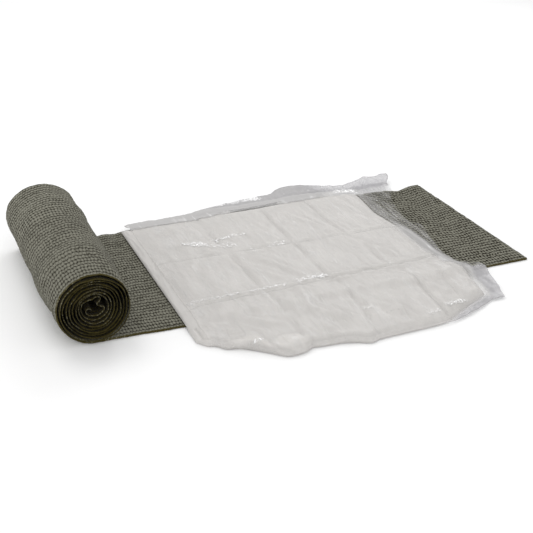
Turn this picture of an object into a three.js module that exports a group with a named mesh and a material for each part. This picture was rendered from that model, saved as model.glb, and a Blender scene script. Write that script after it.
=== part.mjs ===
// Emergency trauma bandage: a crepe elastic wrap, wound in a roll at one end and laid out flat at the
// other, a square absorbent pad spread on it, and a loose clear film over the pad.
// Millimetres, +Z up. While it is worked out, X runs along the wrap with its free end at X = 0 and the
// roll at negative X, Y = 0 is the wrap's near edge, and Z = 0 is the surface that all of it lies on.
import * as THREE from 'three';

// Elastic wrap
const WRAP_WIDTH = 203;
const WRAP_WALL = 1.9;
const LAID_LENGTH = 445.7;
const ROLL_DIAMETER = 66.5;
const TURN_GAP = 0.7;
const CORE_LAYERS = 4.17;
const TURN_FACETS = 32;
const CORE_FACETS = 44;
const EDGE_WANDER = 8;
const EDGE_STAGGER = 0.9;
const OUTER_RECESS = 3.4;
const CORE_RECESS = 2.4;
const RECESS_LIFT = 0.12;
const RECESS_END = 0.85;
const LAG_FADE = 0.1;
const LOBE_START = 0.3;

// Absorbent pad
const PAD_LENGTH = 283;
const PAD_OVERHANG = 82;
const PAD_FAR_REACH = 202.6;
const PAD_FAR_BOW = 10.4;
const PAD_SETBACK = 76.9;
const PAD_THICKNESS = 5.6;
const PAD_EDGE_THICKNESS = 3.4;
const PAD_RIM = 15;
const PAD_PUFF = 1.3;
const PUFF_FLATNESS = 0.6;
const PAD_RIDGE = 2.2;
const RIDGE_SPREAD = 4.5;
const WRINKLE_HEIGHT = 1.7;
const WRINKLE_FADE = 0.25;
const LIP_HEIGHT = 4.6;
const DROP_RUN = 15;
const FOLD_CROWDING = 0.55;

// Clear film
const FILM_WALL = 0.7;
const FILM_REACH = 60;
const FILM_FAR_REACH = 36;
const FILM_NEAR_MARGIN = 10;
const FILM_FALL = 9;
const FILM_NEAR_FALL = 6;
const FILM_WAVE = 6;

// Clearances
const PIECE_GAP = 0.35;
const STEP_CLEARANCE = 2;

// Colours
const CREPE_GREY = 0x55533f;
const PAD_WHITE = 0xd6d4d0;
const FILM_GREY = 0xc4c1c4;

const TURN_PITCH = WRAP_WALL + TURN_GAP;
const ROLL_RADIUS = ROLL_DIAMETER / 2;
const CORE_RADIUS = CORE_LAYERS * TURN_PITCH;
const ROLL_TURNS = (ROLL_RADIUS - WRAP_WALL / 2 - CORE_RADIUS) / TURN_PITCH;
const SEAT_HEIGHT = WRAP_WALL + PIECE_GAP;
const PAD_START = -LAID_LENGTH + PAD_SETBACK;

// The laid part's edges: how far each lies inside its straight line, as shares of the wander. Along
// runs from the free end to the roll.
const LAID_EDGES = [
  { along: 0, near: 0, far: -0.22 },
  { along: 0.026, near: 0, far: -0.1 },
  { along: 0.06, near: 0, far: 0.6 },
  { along: 0.08, near: 0, far: 0.95 },
  { along: 0.1, near: 0, far: 0.35 },
  { along: 0.15, near: 0, far: 0.1 },
  { along: 0.3, near: 0, far: 0 },
  { along: 0.6, near: 0, far: 0 },
  { along: 0.78, near: 0, far: 0.2 },
  { along: 0.82, near: 0, far: 0.5 },
  { along: 0.845, near: 0.02, far: 0.9 },
  { along: 0.865, near: 0.05, far: 0.5 },
  { along: 0.885, near: 0.1, far: 0.8 },
  { along: 0.915, near: 0.25, far: 0.4 },
  { along: 0.95, near: 0.28, far: 0.3 },
  { along: 1, near: 0.3, far: 0 },
];

// Rings across the wrap: how far the free end falls short there, in shares of the wander, and how much
// wider and taller the roll is there than at its near end, in shares of its size.
const CROSS_RINGS = [
  { across: 0, lag: 0, wide: -0.023, tall: 0 },
  { across: 0.25, lag: 0, wide: 0.058, tall: 0.017 },
  { across: 1, lag: 0.12, wide: 0.083, tall: -0.009 },
];

// How far the roll is out of round, as shares of its radius: lobes around it and where they peak,
// counted in turns from the bottom, up the side away from the pad.
const ROLL_LOBES = [
  { share: 0.008, lobes: 2, peak: 0.4 },
  { share: 0.01, lobes: 3, peak: 0.3 },
];

// How the turns' edges wander at the roll's two ends, as shares of the stagger: waves along the winding,
// each with its waves per turn and where it starts, in turns.
const TURN_WANDER = [
  { share: 0.3, waves: 0.382, start: -0.375 },
  { share: 0.2, waves: 1.003, start: 0 },
];
const CORE_RECESS_START = 0.6;
const FAR_END_TURN = 0.4;

// The crumpled end of the wrap inside the last whole turn, in shares of the core's radius. Inward runs
// from where the whole turns stop towards the axis, onward the way that the winding runs there.
const CORE_FOLDS = [
  { inward: 0.14, onward: 0.45 },
  { inward: 0.49, onward: 0.72 },
  { inward: 0.9, onward: 0.75 },
  { inward: 1.25, onward: 0.88 },
  { inward: 1.53, onward: 0.76 },
  { inward: 1.45, onward: 0.49 },
  { inward: 1.22, onward: 0.31 },
  { inward: 1.25, onward: 0.09 },
  { inward: 1.53, onward: 0 },
  { inward: 1.79, onward: -0.12 },
  { inward: 1.78, onward: -0.36 },
  { inward: 1.57, onward: -0.57 },
  { inward: 1.24, onward: -0.73 },
  { inward: 0.84, onward: -0.75 },
  { inward: 0.52, onward: -0.64 },
  { inward: 0.31, onward: -0.39 },
  { inward: 0.37, onward: -0.13 },
  { inward: 0.61, onward: -0.06 },
  { inward: 0.8, onward: -0.22 },
  { inward: 0.75, onward: -0.42 },
];

// The pad's near edge: how far it hangs over the wrap's edge, as shares of the overhang.
const PAD_NEAR_EDGE = [
  { along: 0, reach: 0.33 },
  { along: 0.025, reach: 0.44 },
  { along: 0.045, reach: 0.465 },
  { along: 0.07, reach: 0.56 },
  { along: 0.105, reach: 0.6 },
  { along: 0.15, reach: 0.7 },
  { along: 0.19, reach: 0.815 },
  { along: 0.22, reach: 0.9 },
  { along: 0.255, reach: 0.915 },
  { along: 0.285, reach: 0.895 },
  { along: 0.311, reach: 0.85 },
  { along: 0.34, reach: 0.86 },
  { along: 0.42, reach: 0.885 },
  { along: 0.47, reach: 0.93 },
  { along: 0.515, reach: 0.985 },
  { along: 0.55, reach: 0.955 },
  { along: 0.7, reach: 0.94 },
  { along: 0.76, reach: 0.92 },
  { along: 0.82, reach: 0.83 },
  { along: 0.87, reach: 0.75 },
  { along: 0.92, reach: 0.675 },
  { along: 0.96, reach: 0.62 },
  { along: 1, reach: 0.56 },
];

// The pad's far edge: how far it falls short of its furthest reach, as shares of the bow.
const PAD_FAR_EDGE = [
  { along: 0, short: 1 },
  { along: 0.26, short: 0.95 },
  { along: 0.38, short: 0.6 },
  { along: 0.54, short: 0.5 },
  { along: 0.64, short: 0.33 },
  { along: 0.83, short: 0 },
  { along: 0.92, short: 0.1 },
  { along: 1, short: 0.7 },
];

// The pad's right edge: how far it stands proud, as shares of its length. Across is a share of the
// wrap's width, below 0 past its near edge.
const PAD_RIGHT_EDGE = [
  { across: -0.4, proud: -0.03 },
  { across: -0.2, proud: 0 },
  { across: -0.14, proud: 0.011 },
  { across: -0.064, proud: 0.019 },
  { across: 0, proud: 0.031 },
  { across: 0.035, proud: 0.026 },
  { across: 0.07, proud: 0.002 },
  { across: 0.1, proud: -0.007 },
  { across: 0.2, proud: -0.014 },
  { across: 0.32, proud: -0.012 },
  { across: 0.48, proud: -0.016 },
  { across: 0.6, proud: -0.025 },
  { across: 0.72, proud: -0.032 },
  { across: 0.91, proud: -0.017 },
  { across: 1, proud: -0.022 },
];

// The grid that the pad and the film share. Its lines follow the pad's storage folds. A column line
// lies at a share of the pad's length and leans by a share of it over the wrap's width. A row line
// lies at a share of the wrap's width and rises by a share of it over the pad's length.
const COLUMN_LINES = [
  { at: 0, lean: 0, cells: 1 },
  { at: 0.029, lean: 0, cells: 7 },
  { at: 0.297, lean: -0.012, cells: 8 },
  { at: 0.555, lean: 0.01, cells: 7 },
  { at: 0.775, lean: -0.04, cells: 7 },
  { at: 1, lean: 0, cells: 0 },
];
const ROW_LINES = [
  { name: 'near edge', cells: 8 },
  { name: 'step', cells: 3 },
  { name: 'strong fold', at: 0.07, rise: 0.06, cells: 8 },
  { name: 'soft fold', at: 0.515, rise: -0.02, cells: 8 },
  { name: 'far edge', cells: 0 },
];
const STRONG_FOLD = 2;

// Long soft wrinkles of the pad: both ends as shares of its length and of the wrap's width, their
// width as a share of the pad's length and their height as a share of the wrinkle height.
const PAD_WRINKLES = [
  { along: 0.06, across: 0.72, toAlong: 0.3, toAcross: 0.5, width: 0.022, height: 0.55 },
  { along: 0.1, across: 0.9, toAlong: 0.3, toAcross: 0.74, width: 0.026, height: 0.5 },
  { along: 0.34, across: 0.48, toAlong: 0.5, toAcross: 0.12, width: 0.02, height: 0.9 },
  { along: 0.26, across: 0.4, toAlong: 0.42, toAcross: 0.14, width: 0.018, height: 0.6 },
  { along: 0.6, across: 0.9, toAlong: 0.74, toAcross: 0.56, width: 0.022, height: 0.75 },
  { along: 0.72, across: 0.52, toAlong: 0.86, toAcross: 0.16, width: 0.022, height: 0.8 },
  { along: 0.5, across: 0.82, toAlong: 0.62, toAcross: 0.6, width: 0.024, height: 0.5 },
  { along: 0.12, across: -0.04, toAlong: 0.3, toAcross: -0.2, width: 0.024, height: 0.9 },
  { along: 0.06, across: -0.1, toAlong: 0.2, toAcross: -0.25, width: 0.02, height: 0.7 },
  { along: 0.34, across: -0.02, toAlong: 0.5, toAcross: -0.25, width: 0.026, height: 0.9 },
  { along: 0.55, across: -0.04, toAlong: 0.68, toAcross: -0.3, width: 0.024, height: 0.8 },
  { along: 0.74, across: 0, toAlong: 0.88, toAcross: -0.22, width: 0.024, height: 0.8 },
  { along: 0.9, across: 0.03, toAlong: 0.98, toAcross: -0.16, width: 0.022, height: 0.7 },
];

// Raised places of the pad's near edge, at shares of its length and of the overhang.
const PAD_LIPS = [
  { along: 0.115, reach: 0.62, length: 0.05, depth: 0.14, height: 1 },
  { along: 0.25, reach: 0.72, length: 0.05, depth: 0.22, height: 0.55 },
  { along: 0.43, reach: 0.93, length: 0.04, depth: 0.16, height: 0.3 },
];

// The film's right edge past the pad's length, as shares of its reach, and how high it stands there, as
// shares of the film's wave.
const FILM_RIGHT_EDGE = [
  { across: -0.35, reach: 0.2, rise: 0 },
  { across: -0.26, reach: 0.25, rise: 0 },
  { across: -0.17, reach: 0.37, rise: 0.1 },
  { across: -0.07, reach: 0.465, rise: 0.1 },
  { across: -0.01, reach: 0.52, rise: 0.05 },
  { across: 0.03, reach: 0.5, rise: 0.05 },
  { across: 0.055, reach: 0.3, rise: 0.1 },
  { across: 0.09, reach: 0.18, rise: 0.1 },
  { across: 0.16, reach: 0.11, rise: 0.1 },
  { across: 0.33, reach: 0.22, rise: 0.2 },
  { across: 0.49, reach: 0.355, rise: 0.35 },
  { across: 0.57, reach: 0.26, rise: 0.25 },
  { across: 0.69, reach: 0.305, rise: 0.3 },
  { across: 0.86, reach: 0.485, rise: 0.35 },
  { across: 0.97, reach: 0.725, rise: 0.2 },
  { across: 1.04, reach: 0.76, rise: 0.5 },
  { across: 1.12, reach: 0.95, rise: 1 },
  { across: 1.2, reach: 0.96, rise: 1 },
];

// The film's far edge past the wrap's width, and how high it stands there, as shares of its far reach
// and of the film's wave.
const FILM_FAR_EDGE = [
  { along: 0, reach: 0.12, rise: 0.1 },
  { along: 0.04, reach: 0.16, rise: 0.15 },
  { along: 0.1, reach: 0.26, rise: 0.2 },
  { along: 0.17, reach: 0.16, rise: 0.3 },
  { along: 0.29, reach: 0.17, rise: 0.35 },
  { along: 0.34, reach: 0.3, rise: 0.45 },
  { along: 0.45, reach: 0.48, rise: 0.6 },
  { along: 0.6, reach: 0.61, rise: 0.7 },
  { along: 0.67, reach: 0.66, rise: 0.75 },
  { along: 0.714, reach: 0.86, rise: 0.85 },
  { along: 0.784, reach: 1, rise: 0.9 },
  { along: 0.885, reach: 0.83, rise: 0.8 },
  { along: 0.99, reach: 0.64, rise: 0.5 },
  { along: 1.05, reach: 0.7, rise: 0.8 },
  { along: 1.11, reach: 0.88, rise: 1 },
  { along: 1.16, reach: 0.8, rise: 1 },
  { along: 1.19, reach: 0.9, rise: 1 },
  { along: 1.22, reach: 0.86, rise: 1 },
];

// How far the film shows past the pad's near edge, as shares of the margin.
const FILM_NEAR_EDGE = [
  { along: 0, margin: 0.12 },
  { along: 0.6, margin: 0.12 },
  { along: 0.7, margin: 0.15 },
  { along: 0.76, margin: 0.25 },
  { along: 0.82, margin: 0.7 },
  { along: 0.87, margin: 0.95 },
  { along: 0.92, margin: 1.1 },
  { along: 1, margin: 1.1 },
];

// The film starts at this column line of the pad. Past the pad, its columns and rows lie at these
// shares of the way out to its own edge.
const FILM_FIRST_LINE = 1;
const FILM_RIGHT_STEPS = [0, 0.3, 0.65, 1];
const FILM_NEAR_STEPS = [1, 0];
const FILM_FAR_STEPS = [0, 0.34, 0.67, 1];

const mix = (from, to, share) => from + (to - from) * share;
const clamp = (value) => Math.min(1, Math.max(0, value));

function smooth(value) {
  const share = clamp(value);
  return share * share * (3 - 2 * share);
}

// A column of a table at any place along another: a smooth curve through its rows.
function readTable(rows, place, column, value) {
  const last = rows.length - 1;
  const at = (index) => rows[Math.min(last, Math.max(0, index))];
  let row = 0;
  while (row < last - 1 && value > rows[row + 1][place]) row += 1;
  const span = at(row + 1)[place] - at(row)[place];
  const share = clamp((value - at(row)[place]) / span);
  const slope = (index) => {
    const reach = at(index + 1)[place] - at(index - 1)[place];
    return (at(index + 1)[column] - at(index - 1)[column]) / reach;
  };
  const start = at(row)[column];
  const end = at(row + 1)[column];
  const square = share * share;
  const cube = square * share;
  return start * (2 * cube - 3 * square + 1)
    + end * (3 * square - 2 * cube)
    + slope(row) * span * (cube - 2 * square + share)
    + slope(row + 1) * span * (cube - square);
}

// The elastic wrap: its midline, from the free end along the surface and then round the roll

function rollShape(turns) {
  let factor = 1;
  for (const { share, lobes, peak } of ROLL_LOBES) {
    factor += share * Math.cos(2 * Math.PI * lobes * (turns - peak));
  }
  return mix(1, factor, smooth(turns / LOBE_START));
}

function rollPoint(turns) {
  const radius = (ROLL_RADIUS - WRAP_WALL / 2 - TURN_PITCH * turns) * rollShape(turns);
  const angle = 2 * Math.PI * turns;
  return new THREE.Vector2(
    -LAID_LENGTH - radius * Math.sin(angle),
    ROLL_RADIUS - radius * Math.cos(angle),
  );
}

function corePoints() {
  const start = rollPoint(ROLL_TURNS);
  const axis = new THREE.Vector2(-LAID_LENGTH, ROLL_RADIUS);
  const inward = axis.clone().sub(start).normalize();
  const onward = new THREE.Vector2(inward.y, -inward.x).negate();
  const along = rollPoint(ROLL_TURNS - 1 / TURN_FACETS);
  const points = [along, start];
  for (const fold of CORE_FOLDS) {
    points.push(start.clone()
      .addScaledVector(inward, fold.inward * CORE_RADIUS)
      .addScaledVector(onward, fold.onward * CORE_RADIUS));
  }
  const curve = new THREE.SplineCurve(points);
  const lead = 1 / (points.length - 1);
  const samples = [];
  for (let index = 1; index <= CORE_FACETS; index += 1) {
    samples.push(curve.getPoint(mix(lead, 1, index / CORE_FACETS)));
  }
  return samples;
}

// Each station of the midline: its point in the X-Z plane, its share of the laid part and how many
// turns lie behind it.
function wrapStations() {
  const stations = [];
  for (const { along } of LAID_EDGES.slice(0, -1)) {
    const point = new THREE.Vector2(-LAID_LENGTH * along, WRAP_WALL / 2);
    stations.push({ point, along, turns: 0 });
  }
  const facets = Math.round(ROLL_TURNS * TURN_FACETS);
  for (let index = 0; index <= facets; index += 1) {
    const turns = ROLL_TURNS * (index / facets);
    stations.push({ point: rollPoint(turns), along: 1, turns });
  }
  for (const point of corePoints()) {
    stations.push({ point, along: 1, turns: ROLL_TURNS });
  }
  return stations;
}

// The turns don't lie quite flush at the roll's two ends: the outermost steps back as it leaves the
// surface, and the core lies deeper.
function turnShift(turns) {
  let wander = 0.5;
  for (const { share, waves, start } of TURN_WANDER) {
    wander += share * Math.sin(2 * Math.PI * waves * (turns - start));
  }
  const inward = (turns / ROLL_TURNS - CORE_RECESS_START) / (1 - CORE_RECESS_START);
  return EDGE_STAGGER * wander + CORE_RECESS * smooth(inward);
}

function nearEdge({ along, turns }) {
  const laid = EDGE_WANDER * readTable(LAID_EDGES, 'along', 'near', along);
  const lifted = mix(laid, OUTER_RECESS, smooth(turns / RECESS_LIFT));
  return mix(lifted, turnShift(turns), smooth(2 * (turns / RECESS_END) - 1));
}

function farEdge({ along, turns }) {
  const laid = EDGE_WANDER * readTable(LAID_EDGES, 'along', 'far', along);
  return WRAP_WIDTH - mix(laid, turnShift(turns + FAR_END_TURN), smooth(turns));
}

// A corner of the wall, carried over to one ring across the wrap.
function ringPoint(station, corner, ring) {
  const y = mix(nearEdge(station), farEdge(station), ring.across);
  const rolled = station.along === 1 ? 1 : 0;
  const fromAxis = corner.x + LAID_LENGTH;
  const lag = EDGE_WANDER * ring.lag * (1 - smooth(station.along / LAG_FADE));
  return [corner.x + rolled * ring.wide * fromAxis - lag, y, corner.y * (1 + rolled * ring.tall)];
}

function elasticWrapGeometry() {
  const stations = wrapStations();
  const positions = [];
  stations.forEach((station, index) => {
    const before = stations[Math.max(0, index - 1)].point;
    const after = stations[Math.min(stations.length - 1, index + 1)].point;
    const run = after.clone().sub(before).normalize();
    const side = new THREE.Vector2(-run.y, run.x).multiplyScalar(WRAP_WALL / 2);
    const outer = station.point.clone().add(side);
    const inner = station.point.clone().sub(side);
    for (const ring of CROSS_RINGS) positions.push(...ringPoint(station, outer, ring));
    for (const ring of [...CROSS_RINGS].reverse()) positions.push(...ringPoint(station, inner, ring));
  });
  const around = 2 * CROSS_RINGS.length;
  const triangles = [];
  const quad = (a, b, c, d) => triangles.push(a, b, c, a, c, d);
  const corner = (station, place) => around * station + (place % around);
  const last = stations.length - 1;
  for (let station = 0; station < last; station += 1) {
    for (let place = 0; place < around; place += 1) {
      quad(
        corner(station, place),
        corner(station + 1, place),
        corner(station + 1, place + 1),
        corner(station, place + 1),
      );
    }
  }
  for (let place = 0; place < CROSS_RINGS.length - 1; place += 1) {
    const opposite = around - 1 - place;
    quad(corner(0, place), corner(0, place + 1), corner(0, opposite - 1), corner(0, opposite));
    quad(corner(last, place + 1), corner(last, place), corner(last, opposite), corner(last, opposite - 1));
  }
  return closedGeometry(positions, triangles);
}

// The pad's plan: its edges and its fold lines

function padNear(along) {
  return -PAD_OVERHANG * readTable(PAD_NEAR_EDGE, 'along', 'reach', along);
}

function padFar(along) {
  return PAD_FAR_REACH - PAD_FAR_BOW * readTable(PAD_FAR_EDGE, 'along', 'short', along);
}

function rowLine(line, along) {
  const { name, at, rise } = ROW_LINES[line];
  if (name === 'near edge') return padNear(along);
  if (name === 'step') return -STEP_CLEARANCE;
  if (name === 'far edge') return padFar(along);
  return WRAP_WIDTH * (at + rise * along);
}

function columnLine(line, y) {
  const { at, lean } = COLUMN_LINES[line];
  const across = y / WRAP_WIDTH;
  const proud = at * readTable(PAD_RIGHT_EDGE, 'across', 'proud', across);
  return PAD_START + PAD_LENGTH * (at + proud + lean * (across - 0.5));
}

// A place on the grid is given in lines: 1.5 is halfway between line 1 and line 2.
function betweenLines(place, lines, line) {
  const first = Math.min(lines.length - 2, Math.max(0, Math.floor(place)));
  return mix(line(first), line(first + 1), place - first);
}

function padPlan(column, row) {
  const along = betweenLines(column, COLUMN_LINES, (line) => COLUMN_LINES[line].at);
  const y = betweenLines(row, ROW_LINES, (line) => rowLine(line, along));
  const x = betweenLines(column, COLUMN_LINES, (line) => columnLine(line, y));
  return { along, x, y };
}

// Stations between the lines, closer together beside each line, where the folds are.
function lineStations(lines) {
  const stations = [0];
  lines.forEach(({ cells }, line) => {
    for (let cell = 1; cell <= cells; cell += 1) {
      const even = cell / cells;
      const crowded = (1 - Math.cos(Math.PI * even)) / 2;
      stations.push(line + mix(even, crowded, FOLD_CROWDING));
    }
  });
  return stations;
}

// The pad's heights

function surfaceLevel(y) {
  const nearSide = 1 - smooth((-STEP_CLEARANCE - y) / DROP_RUN);
  const farSide = 1 - smooth((y - WRAP_WIDTH - STEP_CLEARANCE) / DROP_RUN);
  return SEAT_HEIGHT * Math.min(nearSide, farSide);
}

function wrinkleRelief(along, y) {
  const across = y / WRAP_WIDTH;
  let relief = 0;
  for (const wrinkle of PAD_WRINKLES) {
    const runX = (wrinkle.toAlong - wrinkle.along) * PAD_LENGTH;
    const runY = (wrinkle.toAcross - wrinkle.across) * WRAP_WIDTH;
    const offX = (along - wrinkle.along) * PAD_LENGTH;
    const offY = (across - wrinkle.across) * WRAP_WIDTH;
    const run = Math.hypot(runX, runY);
    const share = (offX * runX + offY * runY) / (run * run);
    const away = (offX * runY - offY * runX) / run / (wrinkle.width * PAD_LENGTH);
    const fade = smooth(share / WRINKLE_FADE) * smooth((1 - share) / WRINKLE_FADE);
    relief += wrinkle.height * fade * Math.exp(-away * away);
  }
  return WRINKLE_HEIGHT * relief;
}

function lipRelief(along, y) {
  let relief = 0;
  for (const lip of PAD_LIPS) {
    const away = (along - lip.along) / lip.length;
    const back = (-y / PAD_OVERHANG - lip.reach) / lip.depth;
    relief += lip.height * Math.exp(-away * away - back * back);
  }
  return LIP_HEIGHT * relief;
}

function foldRelief(column, row, along, y) {
  const panels = Math.abs(Math.sin(Math.PI * Math.max(1, column)) * Math.sin(Math.PI * row));
  const away = Math.abs(y - rowLine(STRONG_FOLD, along)) / RIDGE_SPREAD;
  const ridge = away * Math.exp(1 - away);
  return PAD_PUFF * Math.pow(panels, PUFF_FLATNESS) + PAD_RIDGE * Math.pow(ridge, 2);
}

function padThickness(column, row) {
  const { along, y } = padPlan(column, row);
  const inFromEnds = PAD_LENGTH * Math.min(along, 1 - along);
  const inFromSides = Math.min(y - padNear(along), padFar(along) - y);
  const rim = 1 - clamp(Math.min(inFromEnds, inFromSides) / PAD_RIM);
  const body = mix(PAD_THICKNESS, PAD_EDGE_THICKNESS, rim * rim);
  const relief = foldRelief(column, row, along, y) + wrinkleRelief(along, y);
  return body + relief * (1 - rim * rim) + lipRelief(along, y);
}

function absorbentPadGeometry() {
  const columns = lineStations(COLUMN_LINES);
  const rows = lineStations(ROW_LINES);
  return sheetGeometry(columns, rows, (column, row) => {
    const { x, y } = padPlan(column, row);
    const bottom = surfaceLevel(y);
    return { x, y, bottom, top: bottom + padThickness(column, row) };
  });
}

// The clear film: over the pad it follows the pad's grid, and past it it falls to the wrap or to the
// surface that the pad lies on

function filmColumns() {
  const end = COLUMN_LINES.length - 1;
  const covered = lineStations(COLUMN_LINES).filter((line) => line >= FILM_FIRST_LINE && line < end);
  return [
    ...covered.map((line) => ({ line, side: 'on', share: 0 })),
    ...FILM_RIGHT_STEPS.map((share) => ({ line: end, side: 'right', share })),
  ];
}

function filmRows() {
  const end = ROW_LINES.length - 1;
  const covered = lineStations(ROW_LINES).filter((line) => line > 0 && line < end);
  return [
    ...FILM_NEAR_STEPS.map((share) => ({ line: 0, side: 'near', share })),
    ...covered.map((line) => ({ line, side: 'on', share: 0 })),
    { line: end, side: 'rim', share: 0 },
    ...FILM_FAR_STEPS.map((share) => ({ line: end, side: 'far', share })),
  ];
}

function filmY(row, along, y) {
  if (row.side === 'near') {
    const margin = FILM_NEAR_MARGIN * readTable(FILM_NEAR_EDGE, 'along', 'margin', along);
    return y - mix(PIECE_GAP, margin, row.share);
  }
  if (row.side === 'rim') return y + PIECE_GAP;
  if (row.side === 'far') {
    const reach = FILM_FAR_REACH * readTable(FILM_FAR_EDGE, 'along', 'reach', along);
    return mix(WRAP_WIDTH + STEP_CLEARANCE, WRAP_WIDTH + reach, row.share);
  }
  return y;
}

function filmX(column, x, y) {
  if (column.side === 'on') return x;
  const reach = FILM_REACH * readTable(FILM_RIGHT_EDGE, 'across', 'reach', y / WRAP_WIDTH);
  return mix(x + PIECE_GAP, PAD_START + PAD_LENGTH + reach, column.share);
}

function filmRise(column, row, along, y) {
  const right = column.share * readTable(FILM_RIGHT_EDGE, 'across', 'rise', y / WRAP_WIDTH);
  const far = row.share * readTable(FILM_FAR_EDGE, 'along', 'rise', along);
  return FILM_WAVE * (row.side === 'far' ? Math.max(right, far) : right);
}

function filmPoint(column, row) {
  const under = padPlan(column.line, row.line);
  const along = under.along + column.share * (FILM_REACH / PAD_LENGTH);
  const y = filmY(row, along, under.y);
  const x = filmX(column, under.x, y);
  const pastEnd = smooth((x - under.x - PIECE_GAP) / FILM_FALL);
  const pastFar = smooth((y - under.y - PIECE_GAP) / FILM_FALL);
  const pastNear = smooth((under.y - y - PIECE_GAP) / FILM_NEAR_FALL);
  const held = (1 - pastEnd) * (1 - pastFar) * (1 - pastNear);
  const cover = held * (padThickness(column.line, row.line) + PIECE_GAP);
  const level = mix(surfaceLevel(y), surfaceLevel(under.y), held);
  const bottom = level + cover + filmRise(column, row, along, y);
  return { x, y, bottom, top: bottom + FILM_WALL };
}

function clearFilmGeometry() {
  return sheetGeometry(filmColumns(), filmRows(), filmPoint);
}

// Closed bodies

function closedGeometry(positions, triangles) {
  const geometry = new THREE.BufferGeometry();
  geometry.setAttribute('position', new THREE.Float32BufferAttribute(positions, 3));
  geometry.setIndex(triangles);
  geometry.computeVertexNormals();
  return geometry;
}

// A sheet with a top, a bottom and four edges over a grid of columns and rows.
function sheetGeometry(columns, rows, pointAt) {
  const positions = [];
  for (const column of columns) {
    for (const row of rows) {
      const { x, y, bottom, top } = pointAt(column, row);
      positions.push(x, y, bottom, x, y, top);
    }
  }
  const triangles = [];
  const quad = (a, b, c, d) => triangles.push(a, b, c, a, c, d);
  const bottom = (column, row) => 2 * (column * rows.length + row);
  const top = (column, row) => bottom(column, row) + 1;
  const lastColumn = columns.length - 1;
  const lastRow = rows.length - 1;
  for (let i = 0; i < lastColumn; i += 1) {
    for (let j = 0; j < lastRow; j += 1) {
      quad(top(i, j), top(i + 1, j), top(i + 1, j + 1), top(i, j + 1));
      triangles.push(bottom(i, j), bottom(i + 1, j + 1), bottom(i + 1, j));
      triangles.push(bottom(i, j), bottom(i, j + 1), bottom(i + 1, j + 1));
    }
    quad(bottom(i, 0), bottom(i + 1, 0), top(i + 1, 0), top(i, 0));
    quad(bottom(i + 1, lastRow), bottom(i, lastRow), top(i, lastRow), top(i + 1, lastRow));
  }
  for (let j = 0; j < lastRow; j += 1) {
    quad(bottom(0, j + 1), bottom(0, j), top(0, j), top(0, j + 1));
    quad(bottom(lastColumn, j), bottom(lastColumn, j + 1), top(lastColumn, j + 1), top(lastColumn, j));
  }
  return closedGeometry(positions, triangles);
}

// The assembly, set down with the middle of its underside at the origin

function piece(name, geometry, finish) {
  const mesh = new THREE.Mesh(geometry, new THREE.MeshStandardMaterial(finish));
  mesh.name = name;
  return mesh;
}

function traumaBandage() {
  const bandage = new THREE.Group();
  bandage.add(piece('elastic_wrap', elasticWrapGeometry(), { color: CREPE_GREY, roughness: 0.95 }));
  bandage.add(piece('absorbent_pad', absorbentPadGeometry(), { color: PAD_WHITE, roughness: 0.9 }));
  bandage.add(piece('clear_film', clearFilmGeometry(), {
    color: FILM_GREY,
    roughness: 0.25,
    transparent: true,
    opacity: 0.4,
  }));
  const box = new THREE.Box3().setFromObject(bandage);
  const middle = box.getCenter(new THREE.Vector3());
  bandage.position.set(-middle.x, -middle.y, -box.min.z);
  bandage.updateMatrixWorld(true);
  return bandage;
}

export default traumaBandage();
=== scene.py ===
"""An emergency trauma bandage: a crepe elastic wrap, a square pad spread on it and a loose clear film.

The cloth is laid out in millimetres, with X = 0 at the wrap's free end, Y = 0 at its near edge and
Z = 0 at the floor. The meshes are in metres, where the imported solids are. Nothing here moves.
"""

import logging
import math
from collections.abc import Callable
from dataclasses import dataclass
from enum import Enum

import bmesh
import bpy
import numpy as np
from mathutils import Matrix, Vector


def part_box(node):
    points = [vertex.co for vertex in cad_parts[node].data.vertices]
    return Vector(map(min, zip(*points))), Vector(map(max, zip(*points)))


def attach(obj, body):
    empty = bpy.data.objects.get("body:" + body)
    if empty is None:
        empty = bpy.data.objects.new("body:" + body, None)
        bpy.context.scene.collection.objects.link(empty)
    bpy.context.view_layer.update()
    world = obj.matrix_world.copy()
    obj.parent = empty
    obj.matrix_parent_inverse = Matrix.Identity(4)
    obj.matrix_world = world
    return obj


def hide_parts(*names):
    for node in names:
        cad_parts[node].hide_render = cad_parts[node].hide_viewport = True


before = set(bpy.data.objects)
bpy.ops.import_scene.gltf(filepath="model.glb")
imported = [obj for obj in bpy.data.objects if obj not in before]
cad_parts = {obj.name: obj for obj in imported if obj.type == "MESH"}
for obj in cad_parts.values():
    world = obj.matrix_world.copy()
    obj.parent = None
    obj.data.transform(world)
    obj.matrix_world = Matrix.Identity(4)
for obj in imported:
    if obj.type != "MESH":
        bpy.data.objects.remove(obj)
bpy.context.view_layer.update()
LOG = logging.getLogger("bandage")
MM = 0.001
RIPPLE_KNOTS = 2048
DAPPLE_CELLS = 128
DAPPLE_GAIN = 1.6
Array = np.ndarray
Colour = tuple[float, float, float, float]
Pairs = tuple[tuple[float, float], ...]
Surface = tuple[Array, Array, dict[str, Array]]


def mix(start: Array | float, end: Array | float, share: Array | float) -> Array | float:
    """Goes from start to end by a share."""
    return start + (end - start) * share


def smooth(value: Array | float) -> Array | float:
    """Eases from 0 to 1 as the value does."""
    share = np.clip(value, 0.0, 1.0)
    return share * share * (3.0 - 2.0 * share)


def grow(value: Array | float, start: Array | float, end: Array | float) -> Array | float:
    """Eases from 0 to 1 as the value goes from start to end."""
    return smooth((value - start) / (end - start))


def fade(value: Array | float, start: Array | float, end: Array | float) -> Array | float:
    """Eases from 1 to 0 as the value goes from start to end."""
    return 1 - grow(value, start, end)


def bell(offset: Array | float, spread: float) -> Array | float:
    """Gives a bell that is 1 at an offset of 0 and falls to about a third at the spread."""
    return np.exp(-((offset / spread) ** 2))


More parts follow.
